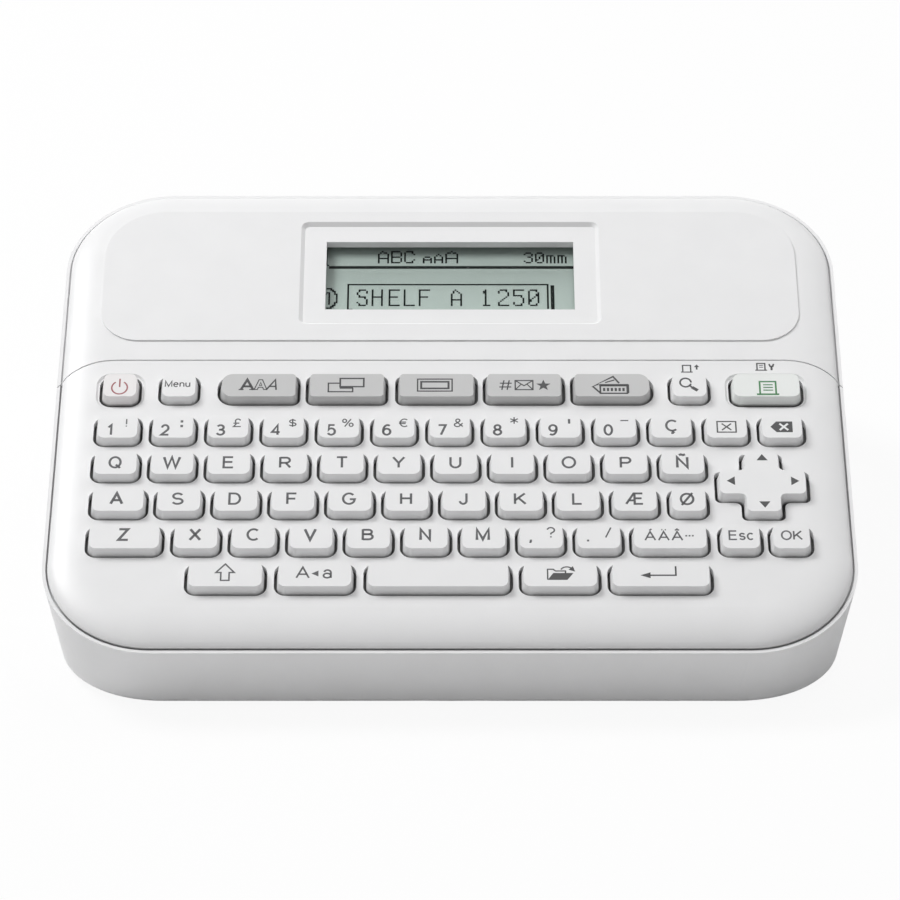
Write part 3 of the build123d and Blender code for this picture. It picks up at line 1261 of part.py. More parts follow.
with BuildPart() as moving_blade:
    pivot = deck_point(MOVING_BLADE_U, CUTTER_V, -CUTTER_DEPTH)
    lean = SLOPE + radians(CUTTER_OPEN)
    with BuildSketch(Plane(origin=pivot, x_dir=(0, cos(lean), sin(lean)), z_dir=(1, 0, 0))):
        with BuildLine():
            Polyline(
                (0, LEVER_HUB_RADIUS),
                (0, BLADE_HEIGHT),
                (-LEVER_HEIGHT / 2, BLADE_HEIGHT),
                (-LEVER_HEIGHT, LEVER_HUB_RADIUS),
                close=True,
            )
        make_face()
    extrude(amount=BLADE_THICKNESS)
moving_blade.part.label = "moving_blade"
export_step(moving_blade.part, "parts/moving_blade.step")

with BuildPart() as fixed_blade:
    deck_block(
        (FIXED_BLADE_U, BRACKET_U),
        (CUTTER_V, HEAD_ROOM_REAR - BAY_CLEARANCE),
        (EXIT_BOTTOM, BAY_UNDERSIDE - BAY_CLEARANCE),
    )
fixed_blade.part.label = "fixed_blade"
export_step(fixed_blade.part, "parts/fixed_blade.step")

with BuildPart() as cutter_pin:
    cross_rod((LEVER_U, BRACKET_RIGHT), CUTTER_V, -CUTTER_DEPTH, CUTTER_PIN_RADIUS)
    cross_rod((LEVER_U - PIN_HEAD - BLADE_GAP, LEVER_U - BLADE_GAP), CUTTER_V, -CUTTER_DEPTH, PIN_HEAD_RADIUS)
    cross_rod((LEVER_U - BLADE_GAP, LEVER_U), CUTTER_V, -CUTTER_DEPTH, CUTTER_PIN_RADIUS)
cutter_pin.part.label = "cutter_pin"
export_step(cutter_pin.part, "parts/cutter_pin.step")
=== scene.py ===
"""Desktop label maker: materials, printed legends, display picture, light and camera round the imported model.

Lengths on the tilted top are deck millimetres: u to the right, v up the slope from the front rim, w out of it.
"""
import json
import math

import bmesh
import bpy
from mathutils import Matrix, Vector


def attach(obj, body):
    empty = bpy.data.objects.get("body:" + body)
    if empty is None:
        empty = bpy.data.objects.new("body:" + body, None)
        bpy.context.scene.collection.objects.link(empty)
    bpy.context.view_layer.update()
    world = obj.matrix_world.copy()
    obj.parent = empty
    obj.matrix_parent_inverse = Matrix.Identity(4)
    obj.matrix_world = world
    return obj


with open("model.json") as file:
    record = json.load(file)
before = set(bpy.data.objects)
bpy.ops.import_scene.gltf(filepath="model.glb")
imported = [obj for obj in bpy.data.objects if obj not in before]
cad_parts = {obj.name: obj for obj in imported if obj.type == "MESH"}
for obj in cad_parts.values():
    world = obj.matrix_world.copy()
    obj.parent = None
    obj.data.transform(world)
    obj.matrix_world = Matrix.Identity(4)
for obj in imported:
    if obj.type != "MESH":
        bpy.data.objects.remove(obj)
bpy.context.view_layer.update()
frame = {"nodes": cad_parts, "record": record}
nodes = frame["nodes"]
scene = bpy.context.scene

# The tilted top, the same as in the solids
MM = 0.001
SLOPE = math.radians(22.5)
RIDGE_HEIGHT = 72.0
RIM_LENGTH = 143.8
FRONT_RIM_Y = -89.0
FRONT_RIM_Z = RIDGE_HEIGHT - RIM_LENGTH * math.sin(SLOPE)
DECK = Matrix((
    (MM, 0, 0, 0),
    (0, math.cos(SLOPE) * MM, -math.sin(SLOPE) * MM, FRONT_RIM_Y * MM),
    (0, math.sin(SLOPE) * MM, math.cos(SLOPE) * MM, FRONT_RIM_Z * MM),
    (0, 0, 0, 1),
))
DECK_NORMAL = (0, -math.sin(SLOPE), math.cos(SLOPE))
RIM_LEVEL = DECK.translation.dot(Vector(DECK_NORMAL))

# Key layout, the same as in the solids
DECK_TOP = 2.8
KEY_TOP = 4.9
KEY_LENGTH = 7.8
FRONT_ROW = 15.15
ROW_PITCH = 11.16
FUNCTION_ROW = 72.7
BOTTOM_ROW, LOWER_ROW, HOME_ROW, UPPER_ROW, NUMBER_ROW = (FRONT_ROW + ROW_PITCH * row for row in range(5))
NUMBER_FIRST = -78.3
NUMBER_PITCH = 13.04
UPPER_FIRST = -78.3
UPPER_PITCH = 13.26
HOME_FIRST = -77.35
HOME_SECOND = -63.2
HOME_LAST = 55.0
LOWER_FIRST = -75.2
LOWER_SECOND = -58.7
LOWER_SIGNS = -58.5
LETTER_PITCH = 13.25
ARROWS_U = 72.8
ARROWS_V = 46.6
# Front edge of the row and middle across it, for each key with a joint of its own
KEY_PLACES = {
    "power_key": (FUNCTION_ROW, -78.5),
    "menu_key": (FUNCTION_ROW, -64.75),
    "font_key": (FUNCTION_ROW, -45.45),
    "layout_key": (FUNCTION_ROW, -24.5),
    "frame_key": (FUNCTION_ROW, -3.2),
    "symbol_key": (FUNCTION_ROW, 17.6),
    "template_key": (FUNCTION_ROW, 38.2),
    "preview_key": (FUNCTION_ROW, 56.9),
    "print_key": (FUNCTION_ROW, 75.5),
    "clear_key": (NUMBER_ROW, NUMBER_FIRST + NUMBER_PITCH * 11),
    "backspace_key": (NUMBER_ROW, NUMBER_FIRST + NUMBER_PITCH * 12),
    "accent_key": (LOWER_ROW, 50.7),
    "escape_key": (LOWER_ROW, 67.0),
    "ok_key": (LOWER_ROW, 78.7),
    "shift_key": (BOTTOM_ROW, -51.4),
    "caps_key": (BOTTOM_ROW, -30.85),
    "file_key": (BOTTOM_ROW, 25.2),
    "enter_key": (BOTTOM_ROW, 47.6),
}


# Materials

# The part of a noise's range that most of its values lie in
NOISE_LOW, NOISE_HIGH = 0.3, 0.7


def new_material(name):
    """An empty node material, with its node tree and its output node."""
    material = bpy.data.materials.new(name)
    material.use_nodes = True
    tree = material.node_tree
    tree.nodes.clear()
    output = tree.nodes.new("ShaderNodeOutputMaterial")
    return material, tree, output


def node(tree, kind, **values):
    """A node with its named inputs or properties set."""
    made = tree.nodes.new(kind)
    for key, value in values.items():
        if key in made.inputs:
            made.inputs[key].default_value = value
        else:
            setattr(made, key, value)
    return made


def noise(tree, scale, detail=2.0):
    """Noise over the object's own coordinates, with scale in features per metre."""
    coordinates = node(tree, "ShaderNodeTexCoord")
    made = node(tree, "ShaderNodeTexNoise", Scale=scale, Detail=detail)
    tree.links.new(coordinates.outputs["Object"], made.inputs["Vector"])
    return made


def spread(tree, source, low, high):
    """The source's usual range mapped to low and high."""
    made = node(tree, "ShaderNodeMapRange")
    made.inputs["From Min"].default_value = NOISE_LOW
    made.inputs["From Max"].default_value = NOISE_HIGH
    made.inputs["To Min"].default_value = low
    made.inputs["To Max"].default_value = high
    tree.links.new(source.outputs["Fac"], made.inputs["Value"])
    return made


def shade(tree, source, dark, light):
    """A colour that drifts between two tones with the source."""
    ramp = node(tree, "ShaderNodeValToRGB")
    ramp.color_ramp.elements[0].position = NOISE_LOW
    ramp.color_ramp.elements[0].color = (*dark, 1)
    ramp.color_ramp.elements[1].position = NOISE_HIGH
    ramp.color_ramp.elements[1].color = (*light, 1)
    tree.links.new(source.outputs["Fac"], ramp.inputs["Fac"])
    return ramp


def deck_level(tree, low, high):
    """0 to 1 between two heights over the tilted rim plane, in millimetres."""
    coordinates = node(tree, "ShaderNodeTexCoord")
    outward = node(tree, "ShaderNodeVectorMath", operation="DOT_PRODUCT")
    outward.inputs[1].default_value = DECK_NORMAL
    level = node(tree, "ShaderNodeMapRange")
    level.inputs["From Min"].default_value = RIM_LEVEL + low * MM
    level.inputs["From Max"].default_value = RIM_LEVEL + high * MM
    tree.links.new(coordinates.outputs["Object"], outward.inputs[0])
    tree.links.new(outward.outputs["Value"], level.inputs["Value"])
    return level


def surface(
    name, colour, roughness, drift=0.03, grain=2600.0, bump=0.00002, cloud=90.0, gap_shade=None, gloss=0.5,
):
    """Moulded or machined surface: slow tone drift, uneven gloss and a fine raised grain of bump metres.

    Two heights on the deck, when given, are where the colour comes up out of painted shade: a dark foot that
    stands for the shadow in the gaps round keys and deck.
    """
    material, tree, output = new_material(name)
    shader = node(tree, "ShaderNodeBsdfPrincipled")
    shader.inputs["Specular IOR Level"].default_value = gloss
    slow = noise(tree, cloud, 4.0)
    fine = noise(tree, grain, 3.0)
    dark = tuple(channel * (1 - drift) for channel in colour)
    light = tuple(min(1.0, channel * (1 + drift)) for channel in colour)
    tone = shade(tree, slow, dark, light).outputs["Color"]
    # Painted shade: below the given heights the colour goes down to a dark tone, the shadow in the narrow
    # gaps.
    if gap_shade:
        gap_shade_mix = node(tree, "ShaderNodeMix", data_type="RGBA")
        gap_shade_mix.inputs[6].default_value = GAP_SHADE_TONE
        tree.links.new(deck_level(tree, *gap_shade).outputs["Result"], gap_shade_mix.inputs[0])
        tree.links.new(tone, gap_shade_mix.inputs[7])
        tone = gap_shade_mix.outputs[2]
    tree.links.new(tone, shader.inputs["Base Color"])
    uneven = spread(tree, fine, roughness - 0.05, roughness + 0.05)
    tree.links.new(uneven.outputs["Result"], shader.inputs["Roughness"])
    raised = node(tree, "ShaderNodeBump", Strength=0.6, Distance=bump)
    tree.links.new(fine.outputs["Fac"], raised.inputs["Height"])
    tree.links.new(raised.outputs["Normal"], shader.inputs["Normal"])
    tree.links.new(shader.outputs["BSDF"], output.inputs["Surface"])
    return material


def brushed(name, colour, roughness, along=(1, 1, 1), grain=1500.0):
    """Metal with fine drawn lines: the noise is stretched where along is small."""
    material, tree, output = new_material(name)
    shader = node(tree, "ShaderNodeBsdfPrincipled", Metallic=1.0)
    coordinates = node(tree, "ShaderNodeTexCoord")
    stretch = node(tree, "ShaderNodeMapping", Scale=along)
    lines = node(tree, "ShaderNodeTexNoise", Scale=grain, Detail=3.0)
    tree.links.new(coordinates.outputs["Object"], stretch.inputs["Vector"])
    tree.links.new(stretch.outputs["Vector"], lines.inputs["Vector"])
    dark = tuple(channel * 0.85 for channel in colour)
    tree.links.new(shade(tree, lines, dark, colour).outputs["Color"], shader.inputs["Base Color"])
    uneven = spread(tree, lines, roughness - 0.08, roughness + 0.1)
    tree.links.new(uneven.outputs["Result"], shader.inputs["Roughness"])
    raised = node(tree, "ShaderNodeBump", Strength=0.4, Distance=0.00001)
    tree.links.new(lines.outputs["Fac"], raised.inputs["Height"])
    tree.links.new(raised.outputs["Normal"], shader.inputs["Normal"])
    tree.links.new(shader.outputs["BSDF"], output.inputs["Surface"])
    return material


def window_material():
    """Clear hard-coated window with a faint haze in its gloss."""
    material, tree, output = new_material("window_clear")
    shader = node(tree, "ShaderNodeBsdfPrincipled", Alpha=0.03)
    shader.inputs["Base Color"].default_value = (0.25, 0.28, 0.27, 1)
    haze = noise(tree, 500.0)
    tree.links.new(spread(tree, haze, 0.06, 0.12).outputs["Result"], shader.inputs["Roughness"])
    tree.links.new(shader.outputs["BSDF"], output.inputs["Surface"])
    return material


# Painted shade at the foot of the keys and of the deck's apertures, the shadow in the gaps round them: its
# tone, and its heights over the rim plane
GAP_SHADE_TONE = (0.09, 0.09, 0.092, 1)
KEY_GAP_SHADE = (1.8, 2.6)
DECK_GAP_SHADE = (-0.1, 0.4)
WHITE = (0.83, 0.83, 0.835)
KEY_WHITE = (0.84, 0.84, 0.845)
KEY_GREY = (0.55, 0.55, 0.55)
KEY_ROSE = (0.84, 0.82, 0.82)
KEY_MINT = (0.825, 0.845, 0.828)


def key_plastic(name, colour, drift=0.012):
    """Satin key cap whose colour comes up out of painted shade, the dark of the gap round its foot."""
    return surface(name, colour, 0.36, drift, grain=3200.0, gap_shade=KEY_GAP_SHADE)


# One look for each material slot of the record
looks = {
    "case_white": surface("case_plastic", WHITE, 0.42, drift=0.012),
    # The deck's colour is painted darker low down, as shade in the gaps it goes down into.
    "deck_white": surface("deck_plastic", WHITE, 0.4, drift=0.012, gap_shade=DECK_GAP_SHADE),
    "cover_white": surface("cover_plastic", WHITE, 0.38, drift=0.012),
    "key_white": key_plastic("key_plastic", KEY_WHITE),
    "key_grey": key_plastic("key_plastic_grey", KEY_GREY, drift=0.02),
    "key_power": key_plastic("key_plastic_rose", KEY_ROSE),
    "key_print": key_plastic("key_plastic_mint", KEY_MINT),
    "silicone": surface("mat_silicone", (0.09, 0.09, 0.095), 0.6, drift=0.1),
    "circuit_board": surface("board_mask", (0.02, 0.16, 0.07), 0.35, drift=0.3, grain=900.0, cloud=600.0),
    "clear_window": window_material(),
    "display": surface("display_glass", (0.42, 0.51, 0.47), 0.3, drift=0.03, grain=4000.0, bump=0.000004),
    "black_plastic": surface("moulded_black", (0.025, 0.025, 0.027), 0.45, drift=0.15),
    "steel": brushed("bright_steel", (0.62, 0.62, 0.64), 0.3),
    "cell_wrap": surface("cell_sleeve", (0.05, 0.05, 0.06), 0.25, drift=0.2),
    "rubber": surface("foot_rubber", (0.06, 0.06, 0.063), 0.8, drift=0.2, grain=1800.0, bump=0.00005),
    "chassis_grey": surface("chassis_plastic", (0.2, 0.2, 0.215), 0.5, drift=0.06),
    "cassette_black": surface("cassette_plastic", (0.035, 0.035, 0.038), 0.45, drift=0.15),
    "tape": surface("tape_film", (0.85, 0.85, 0.84), 0.25, drift=0.02, bump=0.000005),
    "gear_plastic": surface("gear_acetal", (0.8, 0.79, 0.74), 0.4, drift=0.03),
    "rubber_roller": surface("roller_rubber", (0.03, 0.03, 0.031), 0.7, drift=0.2, grain=2200.0, bump=0.00004),
    "brass_pinion": brushed("pinion_brass", (0.76, 0.56, 0.22), 0.28),
    "motor_can": brushed("motor_zinc", (0.6, 0.6, 0.61), 0.35, along=(1, 1, 0.1)),
    "lever_grey": surface("lever_plastic", (0.42, 0.42, 0.43), 0.42, drift=0.03),
    "blade_steel": brushed("blade_ground", (0.72, 0.72, 0.74), 0.2, along=(1, 0.1, 1)),
}

# Edges are broken by a small bevel where light should catch them, in millimetres
BEVEL_SEGMENTS = 3
BEVEL_FROM_ANGLE = math.radians(32)
BEVEL_WIDTHS = {
    "case_white": 0.15,
    "deck_white": 0.12,
    "cover_white": 0.1,
    "key_white": 0.35,
    "key_grey": 0.35,
    "key_power": 0.35,
    "key_print": 0.35,
    "lever_grey": 0.5,
    "chassis_grey": 0.2,
    "cassette_black": 0.3,
}
for entry in frame["record"]["subparts"]:
    piece = nodes[entry["node"]]
    slot = entry["material_slot"]
    piece.data.materials.clear()
    piece.data.materials.append(looks[slot])
    if slot in BEVEL_WIDTHS:
        bevel = piece.modifiers.new("edge", "BEVEL")
        bevel.width = BEVEL_WIDTHS[slot] * MM
        bevel.segments = BEVEL_SEGMENTS
        bevel.limit_method = "ANGLE"
        bevel.angle_limit = BEVEL_FROM_ANGLE
        bevel.use_clamp_overlap = True
        bevel.harden_normals = False
        bevel.miter_outer = "MITER_ARC"


# Printed artwork

INK_THICKNESS = 0.04


def artwork_mesh(curve):
    """The filled mesh of a flat curve, after which the curve is removed."""
    holder = bpy.data.objects.new("artwork", curve)
    scene.collection.objects.link(holder)
    bpy.context.view_layer.update()
    graph = bpy.context.evaluated_depsgraph_get()
    shape = bpy.data.meshes.new_from_object(holder.evaluated_get(graph))
    bpy.data.objects.remove(holder)
    return shape


def region(*outlines):
    """A filled area between closed outlines, given in millimetres; an outline inside another makes a hole."""
    curve = bpy.data.curves.new("region", "CURVE")
    curve.dimensions = "2D"
    curve.fill_mode = "BOTH"
    curve.extrude = INK_THICKNESS / 2
    for outline in outlines:
        spline = curve.splines.new("POLY")
        spline.points.add(len(outline) - 1)
        for point, place in zip(spline.points, outline):
            point.co = (place[0], place[1], 0, 1)
        spline.use_cyclic_u = True
    shape = artwork_mesh(curve)
    bpy.data.curves.remove(curve)
    return shape


def stroke(points, width, closed=False):
    """A line of that width through the points, with mitred corners."""
    points = [Vector(point) for point in points]
    count = len(points)
    left, right = [], []
    for index, point in enumerate(points):
        before = points[index - 1] if index or closed else None
        after = points[(index + 1) % count] if index < count - 1 or closed else None
        inward = (point - before).normalized() if before is not None else (after - point).normalized()
        outward = (after - point).normalized() if after is not None else inward
        normal = Vector((-inward.y - outward.y, inward.x + outward.x)).normalized()
        reach = width / 2 / max(0.4, normal.dot(Vector((-inward.y, inward.x))))
        left.append(point + normal * reach)
        right.append(point - normal * reach)
    if closed:
        return region(left, right)
    return region(left + right[::-1])


def rectangle(u, v, width, height):
    """Corners of a rectangle about its middle."""
    return [
        (u - width / 2, v - height / 2),
        (u + width / 2, v - height / 2),
        (u + width / 2, v + height / 2),
        (u - width / 2, v + height / 2),
    ]


def bow(u, v, across, up, start, end, steps=20):
    """Points along an elliptical arc, with angles in degrees."""
    angles = [math.radians(start + (end - start) * step / steps) for step in range(steps + 1)]
    return [(u + across * math.cos(angle), v + up * math.sin(angle)) for angle in angles]


RING = bow(0.5, 0.5, 0.5, 0.5, 0, 360, 32)
STEM = [(0, 0), (0, 1)]
P_BOWL = [(0, 0.95), *bow(0.48, 0.7, 0.3, 0.25, 90, -90, 12), (0, 0.45)]
N_LINES = [(0, 0), (0, 1), (0.82, 0), (0.82, 1)]
C_BOW = bow(0.48, 0.5, 0.48, 0.5, 48, 312, 24)
A_LINES = [[(0, 0), (0.46, 1), (0.92, 0)], [(0.16, 0.34), (0.76, 0.34)]]
# Drawn capitals, figures and small letters: strokes in units of the capital height
GLYPHS = {
    "A": A_LINES,
    "B": [
        STEM,
        [(0, 0.95), *bow(0.46, 0.74, 0.26, 0.21, 90, -90, 12), (0, 0.53)],
        [(0.1, 0.53), *bow(0.48, 0.29, 0.31, 0.24, 90, -90, 12), (0, 0.05)],
    ],
    "C": [C_BOW],
    "D": [[(0, 0), (0, 1), *bow(0.38, 0.5, 0.47, 0.5, 90, -90), (0, 0)]],
    "E": [[(0.74, 1), (0, 1), (0, 0), (0.77, 0)], [(0, 0.53), (0.7, 0.53)]],
    "F": [[(0.72, 1), (0, 1), (0, 0)], [(0, 0.5), (0.64, 0.5)]],
    "G": [[*bow(0.48, 0.5, 0.48, 0.5, 45, 325, 24), (0.94, 0.45), (0.54, 0.45)]],
    "H": [STEM, [(0.8, 0), (0.8, 1)], [(0, 0.53), (0.8, 0.53)]],
    "I": [STEM],
    "J": [[(0.58, 1), *bow(0.29, 0.29, 0.29, 0.29, 0, -175, 14)]],
    "K": [STEM, [(0.8, 1), (0, 0.34)], [(0.28, 0.57), (0.86, 0)]],
    "L": [[(0, 1), (0, 0), (0.68, 0)]],
    "M": [[(0, 0), (0, 1), (0.47, 0.05), (0.94, 1), (0.94, 0)]],
    "N": [N_LINES],
    "O": [RING],
    "P": [STEM, P_BOWL],
    "Q": [RING, [(0.58, 0.28), (0.98, -0.05)]],
    "R": [STEM, P_BOWL, [(0.45, 0.46), (0.82, 0)]],
    "S": [[*bow(0.41, 0.745, 0.36, 0.255, 22, 255, 16), *bow(0.41, 0.25, 0.4, 0.25, 75, -158, 16)]],
    "T": [[(0, 1), (0.84, 1)], [(0.42, 1), (0.42, 0)]],
    "U": [[(0, 1), *bow(0.4, 0.38, 0.4, 0.38, 180, 360), (0.8, 1)]],
    "V": [[(0, 1), (0.45, 0), (0.9, 1)]],
    "W": [[(0, 1), (0.32, 0), (0.64, 1), (0.96, 0), (1.28, 1)]],
    "X": [[(0.02, 1), (0.88, 0)], [(0, 0), (0.86, 1)]],
    "Y": [[(0, 1), (0.45, 0.44), (0.9, 1)], [(0.45, 0.44), (0.45, 0)]],
    "Z": [[(0.02, 1), (0.8, 1), (0, 0), (0.84, 0)]],
    "Æ": [
        [(0, 0), (0.62, 1), (1.33, 1)],
        [(0.68, 1), (0.68, 0), (1.35, 0)],
        [(0.68, 0.53), (1.25, 0.53)],
        [(0.2, 0.33), (0.68, 0.33)],
    ],
    "Ø": [RING, [(0.06, -0.08), (0.94, 1.08)]],
    "Ñ": [N_LINES, [(0.16, 1.2), (0.3, 1.27), (0.5, 1.21), (0.66, 1.28)]],
    "Ç": [C_BOW, [(0.5, 0), (0.52, -0.1), (0.58, -0.17), (0.5, -0.25), (0.38, -0.24)]],
    "Á": [*A_LINES, [(0.4, 1.14), (0.6, 1.3)]],
    "Ä": [*A_LINES, [(0.26, 1.22), (0.36, 1.22)], [(0.58, 1.22), (0.68, 1.22)]],
    "Â": [*A_LINES, [(0.28, 1.14), (0.46, 1.3), (0.64, 1.14)]],
    "a": [
        [(0.04, 0.56), *bow(0.29, 0.5, 0.25, 0.23, 140, 0, 12), (0.54, 0)],
        bow(0.27, 0.21, 0.27, 0.21, 0, 360),
    ],
    "c": [bow(0.31, 0.36, 0.31, 0.36, 45, 315, 16)],
    "e": [[(0.62, 0.38), (0.02, 0.38)], bow(0.31, 0.36, 0.31, 0.36, 0, 318, 20)],
    "n": [[(0, 0), (0, 0.72)], [*bow(0.28, 0.44, 0.28, 0.26, 180, 0, 12), (0.56, 0)]],
    "s": [[*bow(0.27, 0.53, 0.24, 0.18, 20, 255, 12), *bow(0.27, 0.18, 0.26, 0.18, 75, -160, 12)]],
    "u": [[(0, 0.72), *bow(0.28, 0.28, 0.28, 0.28, 180, 360, 12), (0.56, 0.72)], [(0.56, 0.3), (0.56, 0)]],
    "0": [bow(0.36, 0.5, 0.36, 0.5, 0, 360, 28)],
    "1": [[(0, 0.76), (0.28, 1), (0.28, 0)]],
    "2": [[*bow(0.36, 0.69, 0.34, 0.31, 170, -35, 16), (0, 0), (0.74, 0)]],
    "3": [
        [*bow(0.35, 0.755, 0.3, 0.235, 155, -90, 14), (0.2, 0.52)],
        bow(0.35, 0.265, 0.36, 0.265, 95, -160, 14),
    ],
    "4": [[(0.56, 0), (0.56, 1), (0, 0.27), (0.78, 0.27)]],
    "5": [[(0.66, 1), (0.14, 1), (0.07, 0.5), *bow(0.34, 0.33, 0.36, 0.33, 125, -150, 16)]],
    "6": [bow(0.36, 0.31, 0.35, 0.31, 0, 360), bow(0.43, 0.4, 0.42, 0.6, 60, 190, 14)],
    "7": [[(0, 1), (0.7, 1), (0.24, 0)]],
    "8": [bow(0.36, 0.765, 0.29, 0.235, 0, 360), bow(0.36, 0.265, 0.36, 0.265, 0, 360)],
    "9": [bow(0.36, 0.69, 0.35, 0.31, 0, 360), bow(0.29, 0.6, 0.42, 0.6, -120, 10, 14)],
    "#": [[(0.18, 0), (0.34, 1)], [(0.56, 0), (0.72, 1)], [(0, 0.3), (0.86, 0.3)], [(0.04, 0.7), (0.9, 0.7)]],
    "!": [[(0, 1), (0, 0.32)], [(0, 0.13), (0, 0)]],
    ":": [[(0, 0.84), (0, 0.54)], [(0, 0.22), (0, -0.08)]],
    ".": [[(0, 0.14), (0, -0.02)]],
    ",": [[(0.06, 0.14), (0.06, -0.02), (0, -0.16)]],
    "/": [[(0, 0), (0.42, 1)]],
    "'": [[(0, 1), (0, 0.4)]],
    "-": [[(0, 0.8), (0.8, 0.8)]],
    "*": [[(0.3, 1), (0.3, 0.42)], [(0.05, 0.86), (0.55, 0.56)], [(0.05, 0.56), (0.55, 0.86)]],
    "?": [[*bow(0.3, 0.74, 0.28, 0.26, 170, -50, 12), (0.3, 0.42), (0.3, 0.3)], [(0.3, 0.13), (0.3, 0)]],
    "$": [
        [*bow(0.36, 0.69, 0.3, 0.2, 22, 255, 12), *bow(0.36, 0.3, 0.33, 0.2, 75, -158, 12)],
        [(0.36, 1.02), (0.36, -0.02)],
    ],
    "%": [
        bow(0.2, 0.76, 0.19, 0.22, 0, 360, 14),
        bow(0.86, 0.24, 0.19, 0.22, 0, 360, 14),
        [(0.84, 1), (0.22, 0)],
    ],
    "&": [[
        (0.86, 0.02), (0.2, 0.66), *bow(0.37, 0.8, 0.2, 0.2, 200, -30, 12),
        (0.12, 0.36), *bow(0.33, 0.24, 0.3, 0.24, 150, 300, 10), (0.84, 0.46),
    ]],
    "£": [
        [*bow(0.46, 0.72, 0.26, 0.28, 20, 180, 10), (0.26, 0.3), (0.02, 0), (0.76, 0)],
        [(0, 0.45), (0.6, 0.45)],
    ],
    "€": [bow(0.54, 0.5, 0.42, 0.5, 50, 310, 18), [(0, 0.6), (0.7, 0.6)], [(0, 0.4), (0.66, 0.4)]],
}
LETTER_GAP = 0.3
LETTER_LINE = 0.55


def joined(shapes):
    """Several shapes as one mesh; they are used up."""
    gathered = bmesh.new()
    for shape in shapes:
        gathered.from_mesh(shape)
        bpy.data.meshes.remove(shape)
    result = bpy.data.meshes.new("joined")
    gathered.to_mesh(result)
    gathered.free()
    return result


def spaced(text):
    """The strokes of a line of drawn letters, starting at 0, and the line's length, in capital heights."""
    lines, start = [], 0.0
    for letter in text:
        strokes = GLYPHS[letter]
        width = max(u for line in strokes for u, v in line)
        lines += [[(start + u, v) for u, v in line] for line in strokes]
        start += width + LETTER_GAP
    return lines, start - LETTER_GAP


def drawn(text, height, line=LETTER_LINE, stretch=1.0, slant=0.0):
    """Lettering of drawn strokes, centred on its capitals; height is that of a capital."""
    lines, length = spaced(text)
    shapes = []
    for points in lines:
        placed = [
            (((u - length / 2) * stretch + slant * (v - 0.5)) * height, (v - 0.5) * height) for u, v in points
        ]
        loop = len(placed) > 3 and math.dist(placed[0], placed[-1]) < 0.01
        shapes.append(stroke(placed[:-1] if loop else placed, line, loop))
    return joined(shapes)


class Print:
    """Artwork of one ink on one moving piece, gathered as a single thin mesh."""

    def __init__(self, name, body, slot, material):
        self.mesh = bpy.data.meshes.new(name)
        self.object = bpy.data.objects.new(name, self.mesh)
        self.body = body
        self.slot = slot
        self.mesh.materials.append(material)
        self.gathered = bmesh.new()

    def add(self, shape, u, v, w, turn=0.0):
        """Puts a shape, which is used up, at a place on the deck."""
        lift = Matrix.Translation((u, v, w)) @ Matrix.Rotation(math.radians(turn), 4, "Z")
        shape.transform(DECK @ lift)
        self.gathered.from_mesh(shape)
        bpy.data.meshes.remove(shape)

    def done(self):
        """Finishes the piece and makes it ride on its body."""
        for face in self.gathered.faces:
            face.material_index = 0
        self.gathered.to_mesh(self.mesh)
        self.gathered.free()
        scene.collection.objects.link(self.object)
        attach(self.object, self.body)


def printing_ink(name, colour, roughness=0.55, drift=0.08):
    """A thin coat of ink with a very fine grain."""
    return surface(name, colour, roughness, drift, grain=5000.0, bump=0.000003)


INK = printing_ink("legend_ink", (0.085, 0.085, 0.09))
INK_DARK = printing_ink("legend_ink_dark", (0.04, 0.04, 0.042), roughness=0.5)
INK_RED = printing_ink("legend_ink_red", (0.32, 0.1, 0.11), drift=0.06)
INK_GREEN = printing_ink("legend_ink_green", (0.05, 0.2, 0.07), drift=0.06)


def row_middle(front):
    """Middle of a key top in the row whose front edge lies there."""
    return front + KEY_LENGTH / 2


# Character rows: capital heights, line widths, and how far letters are narrowed from their drawn width
LETTER = 3.15
FIGURE = LETTER * 0.95
SMALL = 2.35
BOLD_LINE = 0.66
STEEP_LINE = 0.64
STEEP_LETTERS = "MNVWXZÑ"
LETTER_STRETCH = 0.91
FIGURE_STRETCH = 0.8
NARROWER = {"2": 0.75, "4": 0.77, "8": 0.77, "Q": 0.81, "Z": 0.82, "N": 0.82, "J": 0.84, "X": 0.85, "V": 0.86}
# Height and line of the small marks beside the figures
PLAIN_MARK = (SMALL, 0.32)
OTHER_MARKS = {":": (SMALL, 0.62), "'": (SMALL, 0.55), "*": (SMALL * 1.5, 0.3)}


def letter_of(letter, line=LETTER_LINE):
    """A letter of the character rows at its own width, heavier where its strokes are steep."""
    if letter in STEEP_LETTERS:
        line = STEEP_LINE
    return drawn(letter, LETTER, line, NARROWER.get(letter, LETTER_STRETCH))


number_middle = row_middle(NUMBER_ROW)
number_print = Print("number_legends", "number_keys_body", "key_white", INK)
for place, mark in enumerate("!:£$%€&*'-"):
    u = NUMBER_FIRST + NUMBER_PITCH * place
    figure = str((place + 1) % 10)
    narrow = NARROWER.get(figure, FIGURE_STRETCH)
    number_print.add(drawn(figure, FIGURE, stretch=narrow), u - 1.8, number_middle - 1.15, KEY_TOP)
    number_print.add(drawn(mark, *OTHER_MARKS.get(mark, PLAIN_MARK)), u + 2.05, number_middle + 1.05, KEY_TOP)
number_print.add(letter_of("Ç"), NUMBER_FIRST + NUMBER_PITCH * 10, number_middle + 0.2, KEY_TOP)
number_print.done()

upper_print = Print("upper_letter_legends", "upper_letter_keys_body", "key_white", INK)
for place, letter in enumerate("QWERTYUIOPÑ"):
    upper_print.add(letter_of(letter), UPPER_FIRST + UPPER_PITCH * place, row_middle(UPPER_ROW), KEY_TOP)
upper_print.done()

